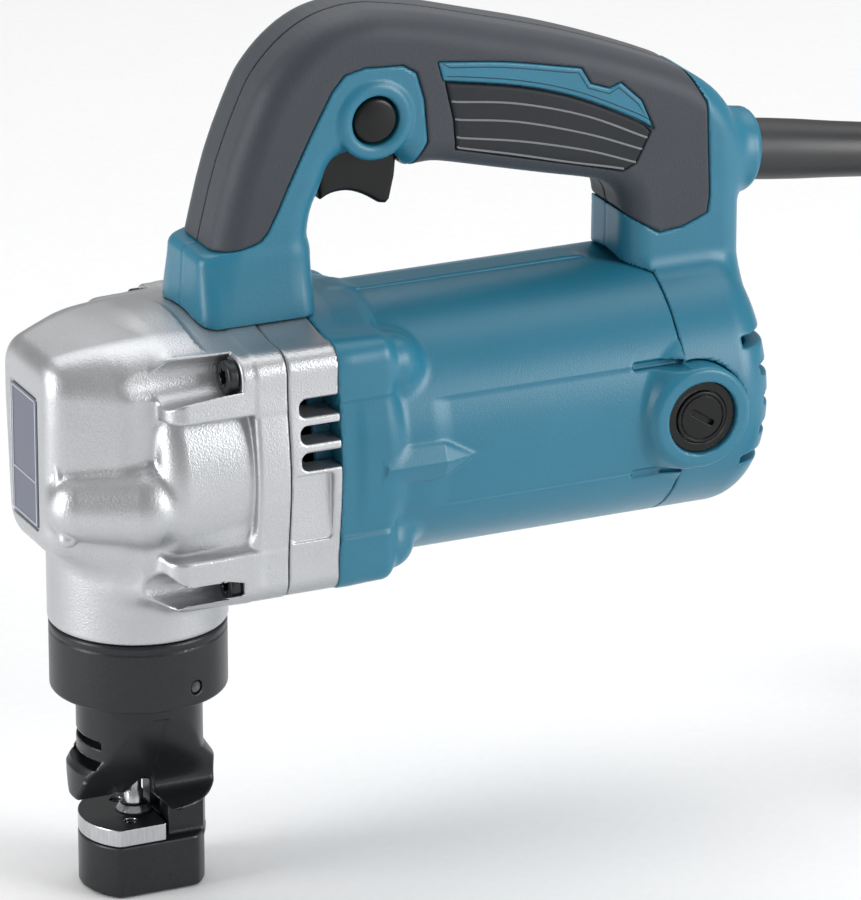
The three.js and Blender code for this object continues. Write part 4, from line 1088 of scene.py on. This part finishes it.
def make_punch():
    tip = [
        (0, 17), (2.7, 17), (PUNCH_FOOT_R, 17.15), (PUNCH_FOOT_R, 27.4), (2.3, 28.2), (2.3, 34), (0, 34),
    ]
    body = [
        (0, 33.8), (5.2, 33.8), (5.5, 34.2), (5.5, 72), (7.6, 72), (8, 72.4), (8, 75.8), (7.6, 76.2),
        (0, 76.2),
    ]
    points, faces, _ = lathe(tip, 64)
    moved = points + np.array([PUNCH_X, 0, 0])
    shape = together((moved, faces, None), lathe(body, 64))
    piece("punch_steel", shape, "bright", "punch", replaces="punch")


def make_nut():
    def field(x, y, z):
        radius = length(x, y)
        outer = slab(radius - NUT_R, z, NUT_LOW_Z, NUT_HIGH_Z, 1.1)
        painted_groove_shadow = length(radius - NUT_R - 0.25, z - NUT_HIGH_Z + 2.6) - 0.5
        outer = cut(outer, painted_groove_shadow, 0.2)
        outer = cut(outer, slab(radius - 22, z, 64.7, 100, 0.4), 0.3)
        outer = cut(outer, slab(radius - 19, z, 0, 70), 0.4)
        out = -y * math.cos(NUT_PIN_TURN) + x * math.sin(NUT_PIN_TURN)
        across = x * math.cos(NUT_PIN_TURN) + y * math.sin(NUT_PIN_TURN)
        hole = slab(length(across, z - NUT_PIN_Z) - 2.15, out, 20, 40)
        return cut(outer, hole, 0.5)

    shape = surface(field, [-28, -28, 60], [28, 28, 84], 0.5)
    piece("lock_nut_ring", shape, "blackened", "nut", replaces="lock_nut")
    profile = [(0, 22.4), (1.75, 22.4), (1.9, 22.6), (1.9, 25.1), (1.6, 25.5), (0, 25.5)]
    points, faces, _ = lathe(profile, 40)
    aside, up, out = points.T
    moved = np.stack([
        out * math.sin(NUT_PIN_TURN) + aside * math.cos(NUT_PIN_TURN),
        -out * math.cos(NUT_PIN_TURN) + aside * math.sin(NUT_PIN_TURN),
        up + NUT_PIN_Z,
    ], 1)
    piece("nut_pin_steel", (moved, faces, None), "blackened", "nut", replaces="nut_pin")


# ---------------------------------------------------------------- inside parts, floor and light
def dress_inside_parts():
    """Gives each CAD node that still shows the finish that the record names for it."""
    finish = {row["node"]: row["material_slot"] for row in frame["record"]["subparts"]}
    for name, node in frame["nodes"].items():
        if not node.hide_render:
            node.data.materials.clear()
            node.data.materials.append(materials[finish[name]])


def make_studio():
    half = 40.0
    corners = [(-half, -half, 0), (half, -half, 0), (half, half, 0), (-half, half, 0)]
    mesh = bpy.data.meshes.new("floor")
    mesh.from_pydata(corners, [], [(0, 1, 2, 3)])
    mesh.materials.append(build_material("floor_paper", (0.9, 0.9, 0.905, 1), 0, 0.9, 0.02, 300, 0.02, 0.004))
    floor = bpy.data.objects.new("floor", mesh)
    floor.location.z = -0.0004
    bpy.context.scene.collection.objects.link(floor)

    bpy.context.scene.view_settings.view_transform = "Standard"
    world = bpy.data.worlds.new("studio")
    bpy.context.scene.world = world
    world.use_nodes = True
    background = world.node_tree.nodes["Background"]
    background.inputs["Color"].default_value = (1, 1, 1, 1)
    background.inputs["Strength"].default_value = 0.36

    centre = np.array([0.08, 0, 0.13])
    lights = [
        ("top_light", (0.25, 0.3, 1.0), 2.2, 2.8, 2.2, 36),
        ("left_light", (-0.97, 0.05, 0.22), 1.4, 0.5, 1.0, 13),
        ("right_light", (0.7, -0.75, 0.34), 1.7, 0.8, 0.9, 19),
    ]
    for name, direction, distance, wide, tall, power in lights:
        data = bpy.data.lights.new(name, "AREA")
        data.shape = "RECTANGLE"
        data.size, data.size_y, data.energy = wide, tall, power
        light = bpy.data.objects.new(name, data)
        towards = np.array(direction) / np.linalg.norm(direction)
        light.location = centre + towards * distance
        light.rotation_mode = "QUATERNION"
        light.rotation_quaternion = Vector(towards).to_track_quat("Z", "Y")
        bpy.context.scene.collection.objects.link(light)


# ---------------------------------------------------------------- the whole tool
make_camera()
cord, cord_length = make_cord()
guard = make_guard()
plug, pins = make_plug()
tie = make_tie()
make_castings()
make_plate()
make_case_screws()
make_handle()
make_trigger()
make_lock_button()
make_brush_caps()
make_cutting_end()
make_punch()
make_nut()
dress_inside_parts()
make_studio()
